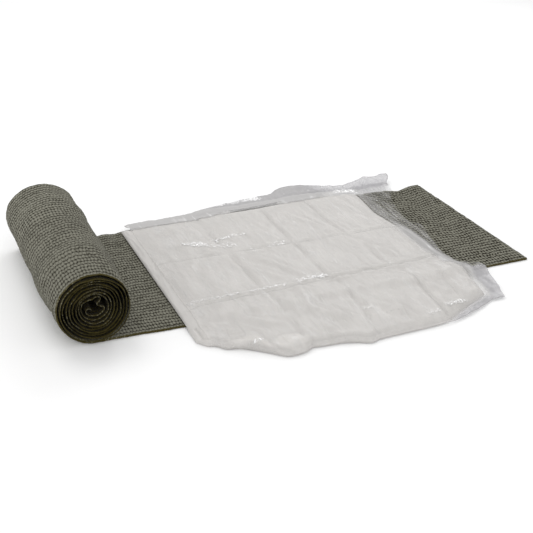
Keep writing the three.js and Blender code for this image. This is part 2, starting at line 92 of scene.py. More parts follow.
def rounded(inside: Array, radius: float, least: float) -> Array:
    """Gives the share of a cloth's thickness at a distance inside its round edge."""
    return np.sqrt(np.clip(1 - (1 - np.clip(inside / radius, 0, 1)) ** 2, least, 1))


class Curve:
    """A smooth curve through a few pairs of place and value."""

    def __init__(self, *pairs: tuple[float, float]) -> None:
        """Keeps the pairs, which are in the order of their places."""
        self.places = np.array([pair[0] for pair in pairs])
        self.values = np.array([pair[1] for pair in pairs])

    def __call__(self, place: Array | float) -> Array:
        """Reads the curve.

        Args:
            place: Where to read it. Beyond its ends it stays level.

        Returns:
            The value at each place.
        """
        places, values = self.places, self.values
        last = len(places) - 1
        place = np.asarray(place, float)
        row = np.searchsorted(places[1:last], place, side="left")
        span = places[row + 1] - places[row]
        share = np.clip((place - places[row]) / span, 0.0, 1.0)
        knots = np.arange(last + 1)
        before, after = np.clip(knots - 1, 0, last), np.clip(knots + 1, 0, last)
        slope = (values[after] - values[before]) / (places[after] - places[before])
        square, cube = share**2, share**3
        return (
            values[row] * (2 * cube - 3 * square + 1)
            + values[row + 1] * (3 * square - 2 * cube)
            + slope[row] * span * (cube - 2 * square + share)
            + slope[row + 1] * span * (cube - square)
        )


def ripple(along: Array, pitch: float, seed: int) -> Array:
    """Wanders smoothly between -1 and 1 along a line.

    Args:
        along: The places on the line.
        pitch: The distance between its turning points.
        seed: Which of the wanderings it is.

    Returns:
        The wandering at each place.
    """
    knots = np.random.default_rng(seed).uniform(-1, 1, RIPPLE_KNOTS)
    cell = np.floor(along / pitch)
    index = cell.astype(int)
    share = smooth(along / pitch - cell)
    return mix(knots[index % RIPPLE_KNOTS], knots[(index + 1) % RIPPLE_KNOTS], share)


def dapple(x: Array, y: Array, pitch: float, seed: int) -> Array:
    """Wanders smoothly between about -1 and 1 over a plane.

    Args:
        x: The places' first coordinates.
        y: Their second coordinates.
        pitch: The distance between its turning points.
        seed: Which of the wanderings it is.

    Returns:
        The wandering at each place.
    """
    cells = (DAPPLE_CELLS, DAPPLE_CELLS)
    angles = np.random.default_rng(seed).uniform(0, 2 * math.pi, cells)
    u, v = x / pitch, y / pitch
    left, low = np.floor(u).astype(int), np.floor(v).astype(int)
    du, dv = u - left, v - low

    def corner(right: int, up: int) -> Array:
        """Gives the share that one corner of the cell adds."""
        angle = angles[(left + right) % DAPPLE_CELLS, (low + up) % DAPPLE_CELLS]
        return np.cos(angle) * (du - right) + np.sin(angle) * (dv - up)

    across = smooth(du)
    near = mix(corner(0, 0), corner(1, 0), across)
    far = mix(corner(0, 1), corner(1, 1), across)
    return DAPPLE_GAIN * mix(near, far, smooth(dv))


def creases(x: Array, y: Array, pitch: float, seed: int) -> Array:
    """Gives a net of sharp ridges, 1 on a ridge and about 0 between them."""
    bent = x + 0.35 * pitch * dapple(x, y, 1.7 * pitch, seed + 50)
    return 1.0 - np.abs(dapple(bent, y, pitch, seed)) ** 0.8


@dataclass(frozen=True)
class Grain:
    """One layer of unevenness of a cloth: its height and pitch in mm, and its seed."""

    height: float
    pitch: float
    seed: int

    def over(self, x: Array, y: Array) -> Array:
        """Gives the unevenness over a plane."""
        return self.height * dapple(x, y, self.pitch, self.seed)

    def along(self, place: Array) -> Array:
        """Gives the unevenness along a line."""
        return self.height * ripple(place, self.pitch, self.seed)


class Side(Enum):
    """The two faces of a sheet of cloth."""

    UPPER = 1
    UNDER = 2


@dataclass
class Sheet:
    """A closed sheet over a grid, whose upper and under faces are shaped apart."""

    name: str
    columns: Array
    rows: Array

    def build(self, shape: Callable[[Array, Array, Side], Surface]) -> bpy.types.Object:
        """Makes the sheet.

        Args:
            shape: Takes the columns' and rows' places of all points and a Side, and gives their
                positions in mm, their place on the flat cloth in mm, and a dict of named values.

        Returns:
            The new object, at the origin, with its cloth coordinates in the UV map "cloth".
        """
        across, up = len(self.columns) - 1, len(self.rows) - 1
        mesh = bpy.data.meshes.new(self.name)
        grid = bmesh.new()
        grid.loops.layers.uv.new("cloth")
        bmesh.ops.create_grid(grid, x_segments=across, y_segments=up, size=0.5, calc_uvs=True)
        bmesh.ops.solidify(grid, geom=grid.faces[:], thickness=1.0)
        flat = np.array([vert.co for vert in grid.verts])
        upper = flat[:, 2] > -0.5
        column = self.columns[np.rint((flat[:, 0] + 0.5) * across).astype(int)]
        row = self.rows[np.rint((flat[:, 1] + 0.5) * up).astype(int)]
        top, cloth, tags = shape(column, row, Side.UPPER)
        under, _, _ = shape(column, row, Side.UNDER)
        points = np.where(upper[:, None], top, under) * MM + row_frame_shift()
        for vert, point in zip(grid.verts, points):
            vert.co = point
        if grid.calc_volume(signed=True) < 0:
            bmesh.ops.reverse_faces(grid, faces=grid.faces[:])
        grid.to_mesh(mesh)
        grid.free()
        self._lay_cloth(mesh, cloth)
        for name, values in tags.items():
            tag = mesh.attributes.new(name, "FLOAT", "POINT")
            tag.data.foreach_set("value", values.astype(np.float32))
        mesh.polygons.foreach_set("use_smooth", [True] * len(mesh.polygons))
        piece = bpy.data.objects.new(self.name, mesh)
        bpy.context.scene.collection.objects.link(piece)
        return piece

    @staticmethod
    def _lay_cloth(mesh: bpy.types.Mesh, cloth: Array) -> None:
        """Writes each corner's place on the flat cloth, in metres, to the UV map."""
        corners = np.zeros(len(mesh.loops), int)
        mesh.loops.foreach_get("vertex_index", corners)
        places = (cloth[corners] * MM).astype(np.float32).ravel()
        mesh.uv_layers["cloth"].data.foreach_set("uv", places)


def row_frame_shift() -> Array:
    """Gives where the layout's zero point lies in the row frame, in metres."""
    low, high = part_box("elastic_wrap")
    return np.array([high.x, low.y, 0.0])


def stations(start: float, end: float, step: float) -> Array:
    """Gives even stations from start to end, no further apart than the step."""
    return np.linspace(start, end, max(2, math.ceil((end - start) / step) + 1))


def stations_by_fold(lines: tuple[float, ...], step: float, reach: float) -> Array:
    """Spreads stations over a run of fold lines that lie about one reach apart."""
    parts = [stations(low, high, step / reach)[:-1] for low, high in zip(lines, lines[1:])]
    return np.concatenate([*parts, [lines[-1]]])


@dataclass
class ElasticWrap:
    """The crepe strip: laid out flat, then wound in a roll with a crumpled core. Sizes in mm.

    The edges' curves run over the laid part, from the free end to the roll, in shares of the wander.
    Flare, rise and lag run across the strip: how far the roll widens and lifts, as shares of its
    size, and how far the free end's corner hangs back, as a share of the wander. Each lobe of the
    roll is its count in a turn, its height as a share of the radius and its place in turns. The core
    folds are points inside the last whole turn: their depth and run in shares of its radius.
    """

    width: float = 203.0
    wall: float = 1.9
    laid: float = 445.7
    roll: float = 66.5
    turn_gap: float = 0.7
    core_layers: float = 4.17
    wander: float = 8.0
    stagger: float = 0.9
    outer_recess: float = 3.4
    core_recess: float = 2.4
    far_end_turn: float = 0.4
    bead_height: float = 0.12
    bead_inset: float = 1.6
    turned_in: float = 0.3
    pressed_thin: float = 0.48
    least_height: float = 0.02
    laid_points: int = 900
    turn_points: int = 3200
    core_points: int = 700
    rough: tuple[Grain, ...] = (Grain(0.3, 3.7, 21), Grain(0.12, 1.7, 22))
    near_fray: tuple[Grain, ...] = (Grain(0.35, 7.0, 3), Grain(0.22, 2.1, 4), Grain(0.16, 4.3, 5))
    far_fray: tuple[Grain, ...] = (Grain(0.35, 7.0, 9), Grain(0.22, 2.1, 10), Grain(0.16, 4.3, 11))
    end_fray: tuple[Grain, ...] = (Grain(0.5, 1.9, 31), Grain(0.4, 5.0, 32))
    edge_curl: tuple[Grain, ...] = (Grain(0.42, 8.0, 43), Grain(0.3, 19.0, 44))
    lobes: tuple[tuple[int, float, float], ...] = ((2, 0.008, 0.4), (3, 0.01, 0.3))
    near_edge: Curve = Curve(
        (0, 0), (0.82, 0), (0.845, 0.02), (0.865, 0.05), (0.885, 0.1), (0.915, 0.25), (0.95, 0.28),
        (1, 0.3),
    )
    far_edge: Curve = Curve(
        (0, -0.22), (0.026, -0.1), (0.06, 0.6), (0.08, 0.95), (0.1, 0.35), (0.15, 0.1), (0.3, 0),
        (0.37, 0), (0.42, -0.5), (0.53, -0.4), (0.6, 0), (0.78, 0.2), (0.82, 0.5), (0.845, 0.9),
        (0.865, 0.5), (0.885, 0.8), (0.915, 0.4), (0.95, 0.3), (1, 0),
    )
    flare: Curve = Curve((0, -0.023), (0.25, 0.058), (1, 0.083))
    rise: Curve = Curve((0, 0), (0.25, 0.017), (1, -0.009))
    lag: Curve = Curve((0, 0), (0.25, 0), (1, 0.12))
    core_folds: Pairs = (
        (0.14, 0.45), (0.49, 0.72), (0.9, 0.75), (1.25, 0.88), (1.53, 0.76), (1.45, 0.49),
        (1.22, 0.31), (1.25, 0.09), (1.53, 0), (1.79, -0.12), (1.78, -0.36), (1.57, -0.57),
        (1.24, -0.73), (0.84, -0.75), (0.52, -0.64), (0.31, -0.39), (0.37, -0.13), (0.61, -0.06),
        (0.8, -0.22), (0.75, -0.42),
    )

    def __post_init__(self) -> None:
        """Works out the winding from the sizes."""
        self.pitch = self.wall + self.turn_gap
        self.radius = self.roll / 2
        self.core = self.core_layers * self.pitch
        self.turns = (self.radius - self.wall / 2 - self.core) / self.pitch
        self.line = self._midline()

    def _turn_point(self, turns: Array) -> Array:
        """Gives the winding's points in the X-Z plane, by the turns up from the floor."""
        angle = 2 * math.pi * turns
        lobes = 1 + sum(
            height * np.cos(2 * math.pi * count * (turns - place))
            for count, height, place in self.lobes
        )
        radius = self.radius - self.wall / 2 - self.pitch * turns
        radius = radius * mix(1.0, lobes, grow(turns, 0, 0.3))
        x = -self.laid - radius * np.sin(angle)
        return np.stack([x, self.radius - radius * np.cos(angle)], -1)

    def _core_line(self) -> Array:
        """Gives the crumpled end inside the last whole turn, as one smooth line of points."""
        start = self._turn_point(np.array(self.turns))
        lead = self._turn_point(np.array(self.turns - 1 / 32))
        inward = np.array([-self.laid, self.radius]) - start
        inward /= np.linalg.norm(inward)
        onward = np.array([-inward[1], inward[0]])
        folds = [start + self.core * (depth * inward + run * onward) for depth, run in self.core_folds]
        knots = np.array([lead, lead, start, *folds, folds[-1]])
        place = np.linspace(1, len(knots) - 3, self.core_points)
        cell = np.minimum(place.astype(int), len(knots) - 4)
        share = (place - cell)[:, None]
        before, first, second, after = (knots[cell + step] for step in (-1, 0, 1, 2))
        bend = 2 * before - 5 * first + 4 * second - after
        points = first + 0.5 * share * (
            second - before + share * (bend + share * (3 * (first - second) + after - before))
        )
        return points[place >= 2]

    def _midline(self) -> dict[str, Array]:
        """Lays out the strip's middle: length so far, points, share of the laid part and turns."""
        laid = np.linspace(0, 1, self.laid_points)
        turns = np.linspace(0, self.turns, self.turn_points)
        core = self._core_line()
        flat = np.stack([-self.laid * laid, np.full(self.laid_points, self.wall / 2)], -1)
        points = np.concatenate([flat[:-1], self._turn_point(turns)[:-1], core])
        steps = np.linalg.norm(np.diff(points, axis=0), axis=1)
        run = np.gradient(points, axis=0)
        run /= np.linalg.norm(run, axis=1)[:, None]
        wound = self.turn_points - 1 + len(core)
        on_floor = np.zeros(self.laid_points - 1)
        return {
            "length": np.concatenate([[0], np.cumsum(steps)]),
            "x": points[:, 0],
            "z": points[:, 1],
            "run_x": run[:, 0],
            "run_z": run[:, 1],
            "along": np.concatenate([laid[:-1], np.ones(wound)]),
            "turns": np.concatenate([on_floor, turns[:-1], np.full(len(core), self.turns)]),
        }

    def at(self, what: str, length: Array) -> Array:
        """Reads one of the midline's values at a length of the strip."""
        return np.interp(length, self.line["length"], self.line[what])

    @property
    def strip_length(self) -> float:
        """The whole length of the strip."""
        return float(self.line["length"][-1])

    @property
    def core_start(self) -> float:
        """The length at which the last whole turn gives way to the crumpled core."""
        return float(self.line["length"][np.argmax(self.line["turns"] >= self.turns)])

    def _turn_shift(self, turns: Array) -> Array:
        """Gives how far a turn's edge lies inside the strip's straight line, at the roll's end."""
        tau = 2 * math.pi
        slow = 0.3 * np.sin(tau * 0.382 * (turns + 0.375))
        wander = 0.5 + slow + 0.2 * np.sin(tau * 1.003 * turns)
        wander = wander + 1.3 * (ripple(turns, 0.31, 41) + 0.4) * grow(turns, 0.8, 1.8)
        return self.stagger * wander + self.core_recess * grow(turns / self.turns, 0.6, 1.0)

    @staticmethod
    def _fray(length: Array, grains: tuple[Grain, ...]) -> Array:
        """Gives the small in and out of a knitted edge, whose first grain is calm at the free end."""
        coarse, *fine = grains
        return coarse.along(length) * grow(length, 0, 30) + sum(grain.along(length) for grain in fine)

    def edges(self, length: Array) -> tuple[Array, Array]:
        """Gives the Y of the near and the far edge at a length of the strip."""
        along, turns = self.at("along", length), self.at("turns", length)
        near_laid, far_laid = self.near_edge(along), self.far_edge(along)
        near = mix(self.wander * near_laid, self.outer_recess, grow(turns, 0, 0.12))
        near = mix(near, self._turn_shift(turns), grow(turns, 0.425, 0.85))
        inside = mix(self.wander * far_laid, self._turn_shift(turns + self.far_end_turn), smooth(turns))
        fray = self._fray(length, self.near_fray) * mix(0.6, 1.5, grow(turns, 0, 0.4))
        return near + fray, self.width - inside + self._fray(length, self.far_fray)

    def _half_wall(self, length: Array, place: Array, turns: Array) -> Array:
        """Gives half the thickness: beaded and round at the edges, rough, thinner in the roll."""
        inside = np.minimum(place, self.width - place)
        bead = self.bead_height * bell(inside - self.bead_inset, 0.9)
        bead = bead - self.turned_in * fade(inside, 0, 2.2) * grow(turns, 0.6, 1.6)
        thin = 1 - self.pressed_thin * grow(turns, 0.3, 0.8)
        thin = thin * (1 - 0.3 * fade(place, 0.8, 5.8) * grow(turns, 0, 0.25))
        rough = sum(grain.over(length, place) for grain in self.rough)
        rough = rough * mix(0.7, 1.0, grow(turns, 0, 0.05))
        smooth_half = (self.wall / 2 - 0.05 + bead) * thin
        return (smooth_half + rough) * rounded(inside, self.wall / 2, self.least_height)

    def _heave(self, length: Array, place: Array, turns: Array) -> Array:
        """Gives how far the whole cloth stands in or out: dents of the outer turn, a curled edge."""
        inside = np.minimum(place, self.width - place)
        dents = 1.8 * dapple(length, place, 34.0, 23) + 0.9 * dapple(length, place * 0.5, 15.0, 24)
        dents = dents * fade(turns, 0.6, 1.6) * grow(turns, 0, 0.05) * grow(inside, 0, 12)
        curl = sum(grain.along(length) for grain in self.edge_curl)
        return curl * fade(place, 0, 12) * grow(turns, 0.5, 1.0) - np.minimum(dents, 0.3)

    def surface(self, length: Array, place: Array, side: Side) -> Surface:
        """Gives points of the strip's faces.

        Args:
            length: The lengths along the strip.
            place: The places across it, in mm of the flat strip.
            side: Which of its two faces.

        Returns:
            The points, their places on the flat cloth, and how near to an edge and deep in the roll
            each lies. How deep sets where the finish paints shade inside the roll.
        """
        near, far = self.edges(length)
        share = place / self.width
        turns, along = self.at("turns", length), self.at("along", length)
        rolled = grow(turns, 0, 0.05)
        half = self._half_wall(length, place, turns)
        lift = (half if side is Side.UPPER else -half) + self._heave(length, place, turns)
        x = self.at("x", length) - self.at("run_z", length) * lift
        z = self.at("z", length) + self.at("run_x", length) * lift
        lag = self.wander * self.lag(share) * fade(along, 0, 0.1)
        frayed = sum(grain.along(place) for grain in self.end_fray) * fade(length, 0, 3)
        x = x + rolled * self.flare(share) * (x + self.laid) - lag - np.maximum(frayed, -0.2)
        z = z * (1 + rolled * self.rise(share))
        y = mix(near, far, share)
        points = np.stack([x, y, np.maximum(z, self.least_height)], -1)
        tags = {
            "inside": np.minimum(place, self.width - place),
            # the cloth deep in the roll gets painted shade in the finish
            "shaded_in_roll": grow(turns, 0.8, 1.2),
            "core": grow(turns / self.turns, 0.72, 0.82),
            "wound": grow(turns, 0, 0.25),
        }
        return points, np.stack([length, place], -1), tags

    def build(self, finish: "CrepeFinish") -> bpy.types.Object:
        """Makes the strip and dresses it.

        Args:
            finish: The crepe cloth.

        Returns:
            The strip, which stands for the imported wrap.
        """
        bend = self.line["length"][self.laid_points - 1]
        outer = bend + 2.1 * math.pi * self.roll
        lengths = np.concatenate([
            stations(0, 4, 0.9)[:-1],
            stations(4, bend, 2.6)[:-1],
            stations(bend, outer, 2.0)[:-1],
            stations(outer, self.core_start, 2.4)[:-1],
            stations(self.core_start, self.strip_length, 0.9),
        ])
        rim = np.array([0.0, 0.12, 0.45, 0.95, 1.6, 2.4, 3.6, 6.0])
        middle = stations(9.0, self.width - 9.0, 5.05)
        places = np.concatenate([rim, middle, self.width - rim[::-1]])
        piece = Sheet("crepe_wrap", lengths, places).build(self.surface)
        piece.data.materials.append(finish.material())
        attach(piece, "root")
        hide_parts("elastic_wrap")
        return piece


@dataclass(frozen=True)
class Wrinkle:
    """A long soft wrinkle of the pad.

    Its ends are in shares of the pad's length and of the wrap's width, its width is a share of the
    pad's length and its height a share of the wrinkle height.
    """

    along: float
    across: float
    to_along: float
    to_across: float
    width: float
    height: float


@dataclass(frozen=True)
class PressedLine:
    """The profile across a pressed fold: a groove between two raised shoulders. Sizes in mm."""

    depth: float
    spread: float
    shoulder: float
    shoulder_at: float
    shoulder_spread: float

    def at(self, away: Array) -> Array:
        """Gives how deep the profile lies at a distance from the fold."""
        shoulders = self.shoulder * bell(away - self.shoulder_at, self.shoulder_spread)
        return self.depth * bell(away, self.spread) - shoulders


@dataclass
class AbsorbentPad:
    """The square pad, folded in storage 4 by 3 and spread out on the wrap. Sizes in mm.

    The near edge and the lip run over shares of the pad's length, in shares of the overhang, and the
    far edge in shares of the far bow. The right edge runs over shares of the wrap's width, in shares
    of the pad's length. A column line is where a fold lies along the pad and how far it leans. A
    swell is its place along and across the overhang, its length and depth there, and its height.
    """

    wrap: ElasticWrap
    length: float = 283.0
    overhang: float = 82.0
    far_reach: float = 202.6
    far_bow: float = 10.4
    setback: float = 76.9
    thickness: float = 5.6
    edge_thickness: float = 2.6
    edge_round: float = 1.9
    rim: float = 10.0
    puff: float = 1.3
    ridge: float = 1.5
    ridge_spread: float = 3.4
    relief_gain: float = 1.4
    fold_gain: float = 1.1
    wrinkle_height: float = 1.7
    lip_height: float = 4.6
    lip_front: float = 0.045
    lip_back: float = 0.17
    hem_inset: float = 5.0
    hem_depth: float = 1.3
    drop_run: float = 15.0
    gap: float = 0.35
    step: float = 2.0
    crest_reach: float = 2.6
    crest_height: float = 0.45
    grid_step: float = 2.1
    column_fold: PressedLine = PressedLine(0.75, 1.8, 0.45, 4.5, 2.1)
    row_fold: PressedLine = PressedLine(0.6, 1.8, 0.45, 4.2, 2.0)
    near_reach: Curve = Curve(
        (0, 0.33), (0.025, 0.44), (0.045, 0.465), (0.07, 0.56), (0.105, 0.6), (0.15, 0.7),
        (0.19, 0.815), (0.22, 0.9), (0.255, 0.915), (0.285, 0.895), (0.311, 0.85), (0.34, 0.86),
        (0.42, 0.885), (0.47, 0.93), (0.515, 0.985), (0.55, 0.955), (0.7, 0.94), (0.76, 0.92),
        (0.82, 0.83), (0.87, 0.75), (0.92, 0.675), (0.96, 0.62), (1, 0.56),
    )
    far_short: Curve = Curve(
        (0, 1), (0.26, 0.95), (0.38, 0.6), (0.54, 0.5), (0.64, 0.33), (0.83, 0), (0.92, 0.1), (1, 0.7),
    )
    right_proud: Curve = Curve(
        (-0.4, -0.03), (-0.2, 0), (-0.14, 0.011), (-0.064, 0.019), (0, 0.031), (0.035, 0.026),
        (0.07, 0.002), (0.1, -0.007), (0.2, -0.014), (0.32, -0.012), (0.48, -0.016), (0.6, -0.025),
        (0.72, -0.032), (0.91, -0.017), (1, -0.022),
    )
    lip_reach: Curve = Curve(
        (0.05, 0.46), (0.092, 0.55), (0.12, 0.59), (0.15, 0.63), (0.175, 0.71), (0.21, 0.83),
    )
    lip_rise: Curve = Curve(
        (0.05, 0), (0.085, 0.4), (0.11, 0.9), (0.15, 1.05), (0.172, 0.75), (0.2, 0.3), (0.23, 0),
    )
    column_lines: Pairs = (
        (0, 0), (0.029, 0), (0.297, -0.012), (0.555, 0.01), (0.775, -0.04), (1, 0),
    )
    swells: tuple[tuple[float, float, float, float, float], ...] = (
        (0.265, 0.76, 0.035, 0.12, 0.75), (0.43, 0.93, 0.04, 0.16, 0.3), (0.04, 0.3, 0.03, 0.12, 0.4),
    )
    wrinkles: tuple[Wrinkle, ...] = (
        Wrinkle(0.06, 0.72, 0.3, 0.5, 0.022, 0.55),
        Wrinkle(0.1, 0.9, 0.3, 0.74, 0.026, 0.5),
        Wrinkle(0.34, 0.48, 0.5, 0.12, 0.02, 0.9),
        Wrinkle(0.26, 0.4, 0.42, 0.14, 0.018, 0.6),
        Wrinkle(0.6, 0.9, 0.74, 0.56, 0.022, 0.75),
        Wrinkle(0.72, 0.52, 0.86, 0.16, 0.022, 0.8),
        Wrinkle(0.5, 0.82, 0.62, 0.6, 0.024, 0.5),
        Wrinkle(0.12, -0.04, 0.3, -0.2, 0.024, 0.9),
        Wrinkle(0.06, -0.1, 0.2, -0.25, 0.02, 0.7),
        Wrinkle(0.34, -0.02, 0.5, -0.25, 0.026, 0.9),
        Wrinkle(0.55, -0.04, 0.68, -0.3, 0.024, 0.8),
        Wrinkle(0.74, 0, 0.88, -0.22, 0.024, 0.8),
        Wrinkle(0.9, 0.03, 0.98, -0.16, 0.022, 0.7),
    )

    def __post_init__(self) -> None:
        """Works out where the pad starts and how high it is carried."""
        self.start = self.setback - self.wrap.laid
        self.seat = self.wrap.wall + self.gap

    def near(self, along: Array) -> Array:
        """Gives the Y of the near edge."""
        return -self.overhang * self.near_reach(along)

    def far(self, along: Array) -> Array:
        """Gives the Y of the far edge."""
        return self.far_reach - self.far_bow * self.far_short(along)

    def strong_fold(self, along: Array) -> Array:
        """Gives the Y of the strong storage fold."""
        return self.wrap.width * (0.07 + 0.06 * along)

    def plan(self, column: Array, row: Array) -> tuple[Array, Array, Array]:
        """Finds a place of the grid, which is counted in fold lines, in the plan.

        Args:
            column: 0 at the pad's left edge and 5 at its right one.
            row: 0 at its near edge, 1 at the wrap's edge and 4 at its far edge.

        Returns:
            The share of the pad's length, X and Y.
        """
        shares, leans = np.array(self.column_lines).T
        along = np.interp(column, np.arange(len(shares)), shares)
        lines = np.stack([
            self.near(along),
            np.full_like(along, -self.step),
            self.strong_fold(along),
            self.wrap.width * (0.515 - 0.02 * along),
            self.far(along),
        ])
        y = self._between(lines, row)
        across = y / self.wrap.width
        proud = self.right_proud(across)
        columns = np.stack([
            self.start + self.length * (at + at * proud + lean * (across - 0.5))
            for at, lean in zip(shares, leans)
        ])
        return along, self._between(columns, column), y

    @staticmethod
    def _between(lines: Array, place: Array) -> Array:
        """Reads between two neighbouring lines at a place that is counted in lines."""
        first = np.clip(np.floor(place).astype(int), 0, len(lines) - 2)
        low = np.take_along_axis(lines, first[None], 0)[0]
        high = np.take_along_axis(lines, first[None] + 1, 0)[0]
        return mix(low, high, place - first)

    def level(self, y: Array) -> Array:
        """Gives how high the pad's underside is carried: on the wrap or on the floor beside it."""
        near = fade(-self.step - y, 0, self.drop_run)
        far = fade(y - self.wrap.width - self.step, 0, self.drop_run)
        return self.seat * np.minimum(near, far)

    def _wrinkles(self, along: Array, y: Array) -> Array:
        """Adds up the long soft wrinkles."""
        relief = np.zeros_like(along)
        for wrinkle in self.wrinkles:
            run_x = (wrinkle.to_along - wrinkle.along) * self.length
            run_y = (wrinkle.to_across - wrinkle.across) * self.wrap.width
            off_x = (along - wrinkle.along) * self.length
            off_y = y - wrinkle.across * self.wrap.width
            run = math.hypot(run_x, run_y)
            share = (off_x * run_x + off_y * run_y) / run**2
            away = (off_x * run_y - off_y * run_x) / run
            ends = grow(share, 0, 0.25) * fade(share, 0.75, 1)
            relief += wrinkle.height * ends * bell(away, wrinkle.width * self.length)
        return self.wrinkle_height * relief

    def _lips(self, along: Array, y: Array) -> Array:
        """Raises the near edge: an arched lip with a steep front, and softer swells beside it."""
        reach = -y / self.overhang
        over = reach - self.lip_reach(along)
        relief = self.lip_rise(along) * bell(over, np.where(over > 0, self.lip_front, self.lip_back))
        for at, middle, length, depth, height in self.swells:
            relief = relief + height * bell(along - at, length) * bell(reach - middle, depth)
        return self.lip_height * relief

    def _folds(self, column: Array, row: Array, along: Array, y: Array) -> Array:
        """Gives the puffed panels between the folds, the pressed folds and the strong one's ridges."""
        by_row = np.where(row < 2, row / 2, row)
        panels = np.abs(np.sin(math.pi * np.maximum(1, column)) * np.sin(math.pi * by_row))
        nearest_column, nearest_row = np.rint(column), np.rint(row)
        column_away = np.abs(column - nearest_column) * self.length / 4 + 9 * (nearest_column < 2)
        row_away = np.abs(row - nearest_row) * 84 + 9 * (nearest_row != 3)
        pressed = self.column_fold.at(column_away) + self.row_fold.at(row_away)
        broken = smooth(0.55 + 1.1 * dapple(column * 70, y, 26.0, 66))
        uneven = 0.75 + 0.5 * dapple(along * self.length, y * 0.2, 19.0, 67)
        away = np.abs(y - self.strong_fold(along)) / self.ridge_spread
        ridges = self.ridge * uneven * (away * np.exp(1 - away)) ** 2
        return self.puff * panels**0.6 + ridges - self.fold_gain * pressed * broken

    @staticmethod
    def _soft_relief(x: Array, y: Array) -> Array:
        """Gives the small swells of the wadding and the fine pleats of the cloth over it."""
        over = x + 0.12 * y + 9.0 * dapple(x, y, 60.0, 68)
        pleats = 1.5 * (0.5 - np.abs(dapple(y / 6, over, 14.0, 63)) ** 0.7)
        pleats = pleats + 0.4 * dapple(y / 5, over, 7.0, 64)
        patchy = smooth(0.55 + 1.3 * dapple(x, y, 45.0, 65))
        swells = 0.45 * dapple(x, y, 19.0, 61) + 0.25 * dapple(x + 0.4 * y, y, 8.0, 62)
        return swells + pleats * patchy

    def cover(self, column: Array, row: Array) -> Array:
        """Gives the pad's thickness, with all its relief."""
        along, x, y = self.plan(column, row)
        from_ends = self.length * np.minimum(0.6 * along, 1 - along)
        from_sides = np.minimum(y - self.near(along), self.far(along) - y)
        rim = 1 - np.clip(np.minimum(from_ends, from_sides) / self.rim, 0, 1)
        body = mix(self.thickness, self.edge_thickness, rim**2)
        relief = self._folds(column, row, along, y) + self._wrinkles(along, y)
        hanging = 1 + 0.5 * grow(-y, 0, 12)
        relief = self.relief_gain * relief + hanging * self._soft_relief(x, y)
        return body + relief * (1 - rim**2) + self._lips(along, y)

    def surface(self, column: Array, row: Array, side: Side) -> Surface:
        """Gives points of the pad's faces, on its grid of fold lines.

        Args:
            column: The points' columns, as plan takes them.
            row: Their rows.
            side: Which of its two faces.

        Returns:
            The points, their places on the flat cloth, and the relief that paints highlight and shade
            on the cloth.
        """
        along, x, y = self.plan(column, row)
        thick = self.cover(column, row)
        from_ends = self.length * np.minimum(along, 1 - along)
        inside = np.minimum(from_ends, np.minimum(y - self.near(along), self.far(along) - y))
        hem = self.hem_depth * bell(inside - self.hem_inset, 1.3) * fade(along, 0.55, 0.75)
        middle = self.level(y) + 0.45 * np.minimum(thick, self.thickness)
        outer = self.level(y)
        if side is Side.UPPER:
            outer = outer + thick - hem * (y < -12)
        z = mix(middle, outer, rounded(inside, self.edge_round, 0.03))
        # both tags are painted highlight and painted shade for the finish
        tags = {"crest": self._crest(column, row, thick), "painted_edge_tone": self._painted_edge_tone(along, y)}
        return np.stack([x, y, z], -1), np.stack([self.length * along, y], -1), tags

    def _crest(self, column: Array, row: Array, thick: Array) -> Array:
        """Gives how far a place stands above those around it: 1 on a crest, -1 in a hollow. The finish
        paints highlight on crests and shade in hollows from it.
        """
        across, up = self.crest_reach / (self.length / 4), self.crest_reach / 75.0
        around = (
            self.cover(column + across, row) + self.cover(column - across, row)
            + self.cover(column, row + up) + self.cover(column, row - up)
        )
        return np.clip((thick - around / 4) / self.crest_height, -1, 1)

    def _painted_edge_tone(self, along: Array, y: Array) -> Array:
        """Gives the painted light and shade of the turned near edge: above 0 for painted highlight and
        below 0 for painted shade in its folds.
        """
        reach = -y / self.overhang
        inside = y - self.near(along)
        over = (reach - self.lip_reach(along)) * self.overhang
        span = grow(along, 0.075, 0.095) * fade(along, 0.185, 0.205)
        front = grow(over, 1.6, 3.0) * np.clip(0.45 + 0.09 * over, 0, 1)
        # painted highlight on the lip's ridge and painted shade on its front face
        lip = span * (1.7 * bell(over + 0.5, 1.9) - 0.55 * front)
        # painted highlight on the bulge, with painted shade round its border
        away = np.hypot((along - 0.255) / 0.062, (reach - 0.745) / 0.15)
        away = away + 0.22 * dapple(self.length * along, y, 17.0, 79)
        bulge = 0.8 * fade(away, 0.7, 1.0) - 0.5 * bell(away - 1.04, 0.08)
        # painted shade in the hem's groove
        hem = 0.6 * bell(inside - 4.6, 1.2) * grow(along, 0.19, 0.22) * fade(along, 0.52, 0.62)
        # painted light on the left border band
        border = 0.55 * fade(self.length * along, 9, 14)
        return np.clip((lip + bulge) * (inside > 0) - hem + border, -1, 1)

    def build(self, finish: "WaddingFinish") -> bpy.types.Object:
        """Makes the pad and dresses it.

        Args:
            finish: The soft white non-woven cloth.

        Returns:
            The pad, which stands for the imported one.
        """
        close = np.array([0.0, 0.02, 0.09, 0.22, 0.42, 0.7])
        from_left, from_near = 0.24 * close, 0.03 * close
        panel = self.length / 4
        columns = np.concatenate([
            from_left[:-1],
            stations_by_fold((0.17, 1, 2, 3, 4, 4.99), self.grid_step, panel),
            (5 - from_left[::-1])[-4:],
        ])
        rows = np.concatenate([
            from_near,
            stations_by_fold((0.04, 1, 2, 3, 3.98), self.grid_step, 80.0),
            4 - from_near[::-1],
        ])
        columns, rows = (np.unique(np.round(places, 5)) for places in (columns, rows))
        piece = Sheet("white_pad", columns, rows).build(self.surface)
        piece.data.materials.append(finish.material())
        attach(piece, "root")
        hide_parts("absorbent_pad")
        return piece


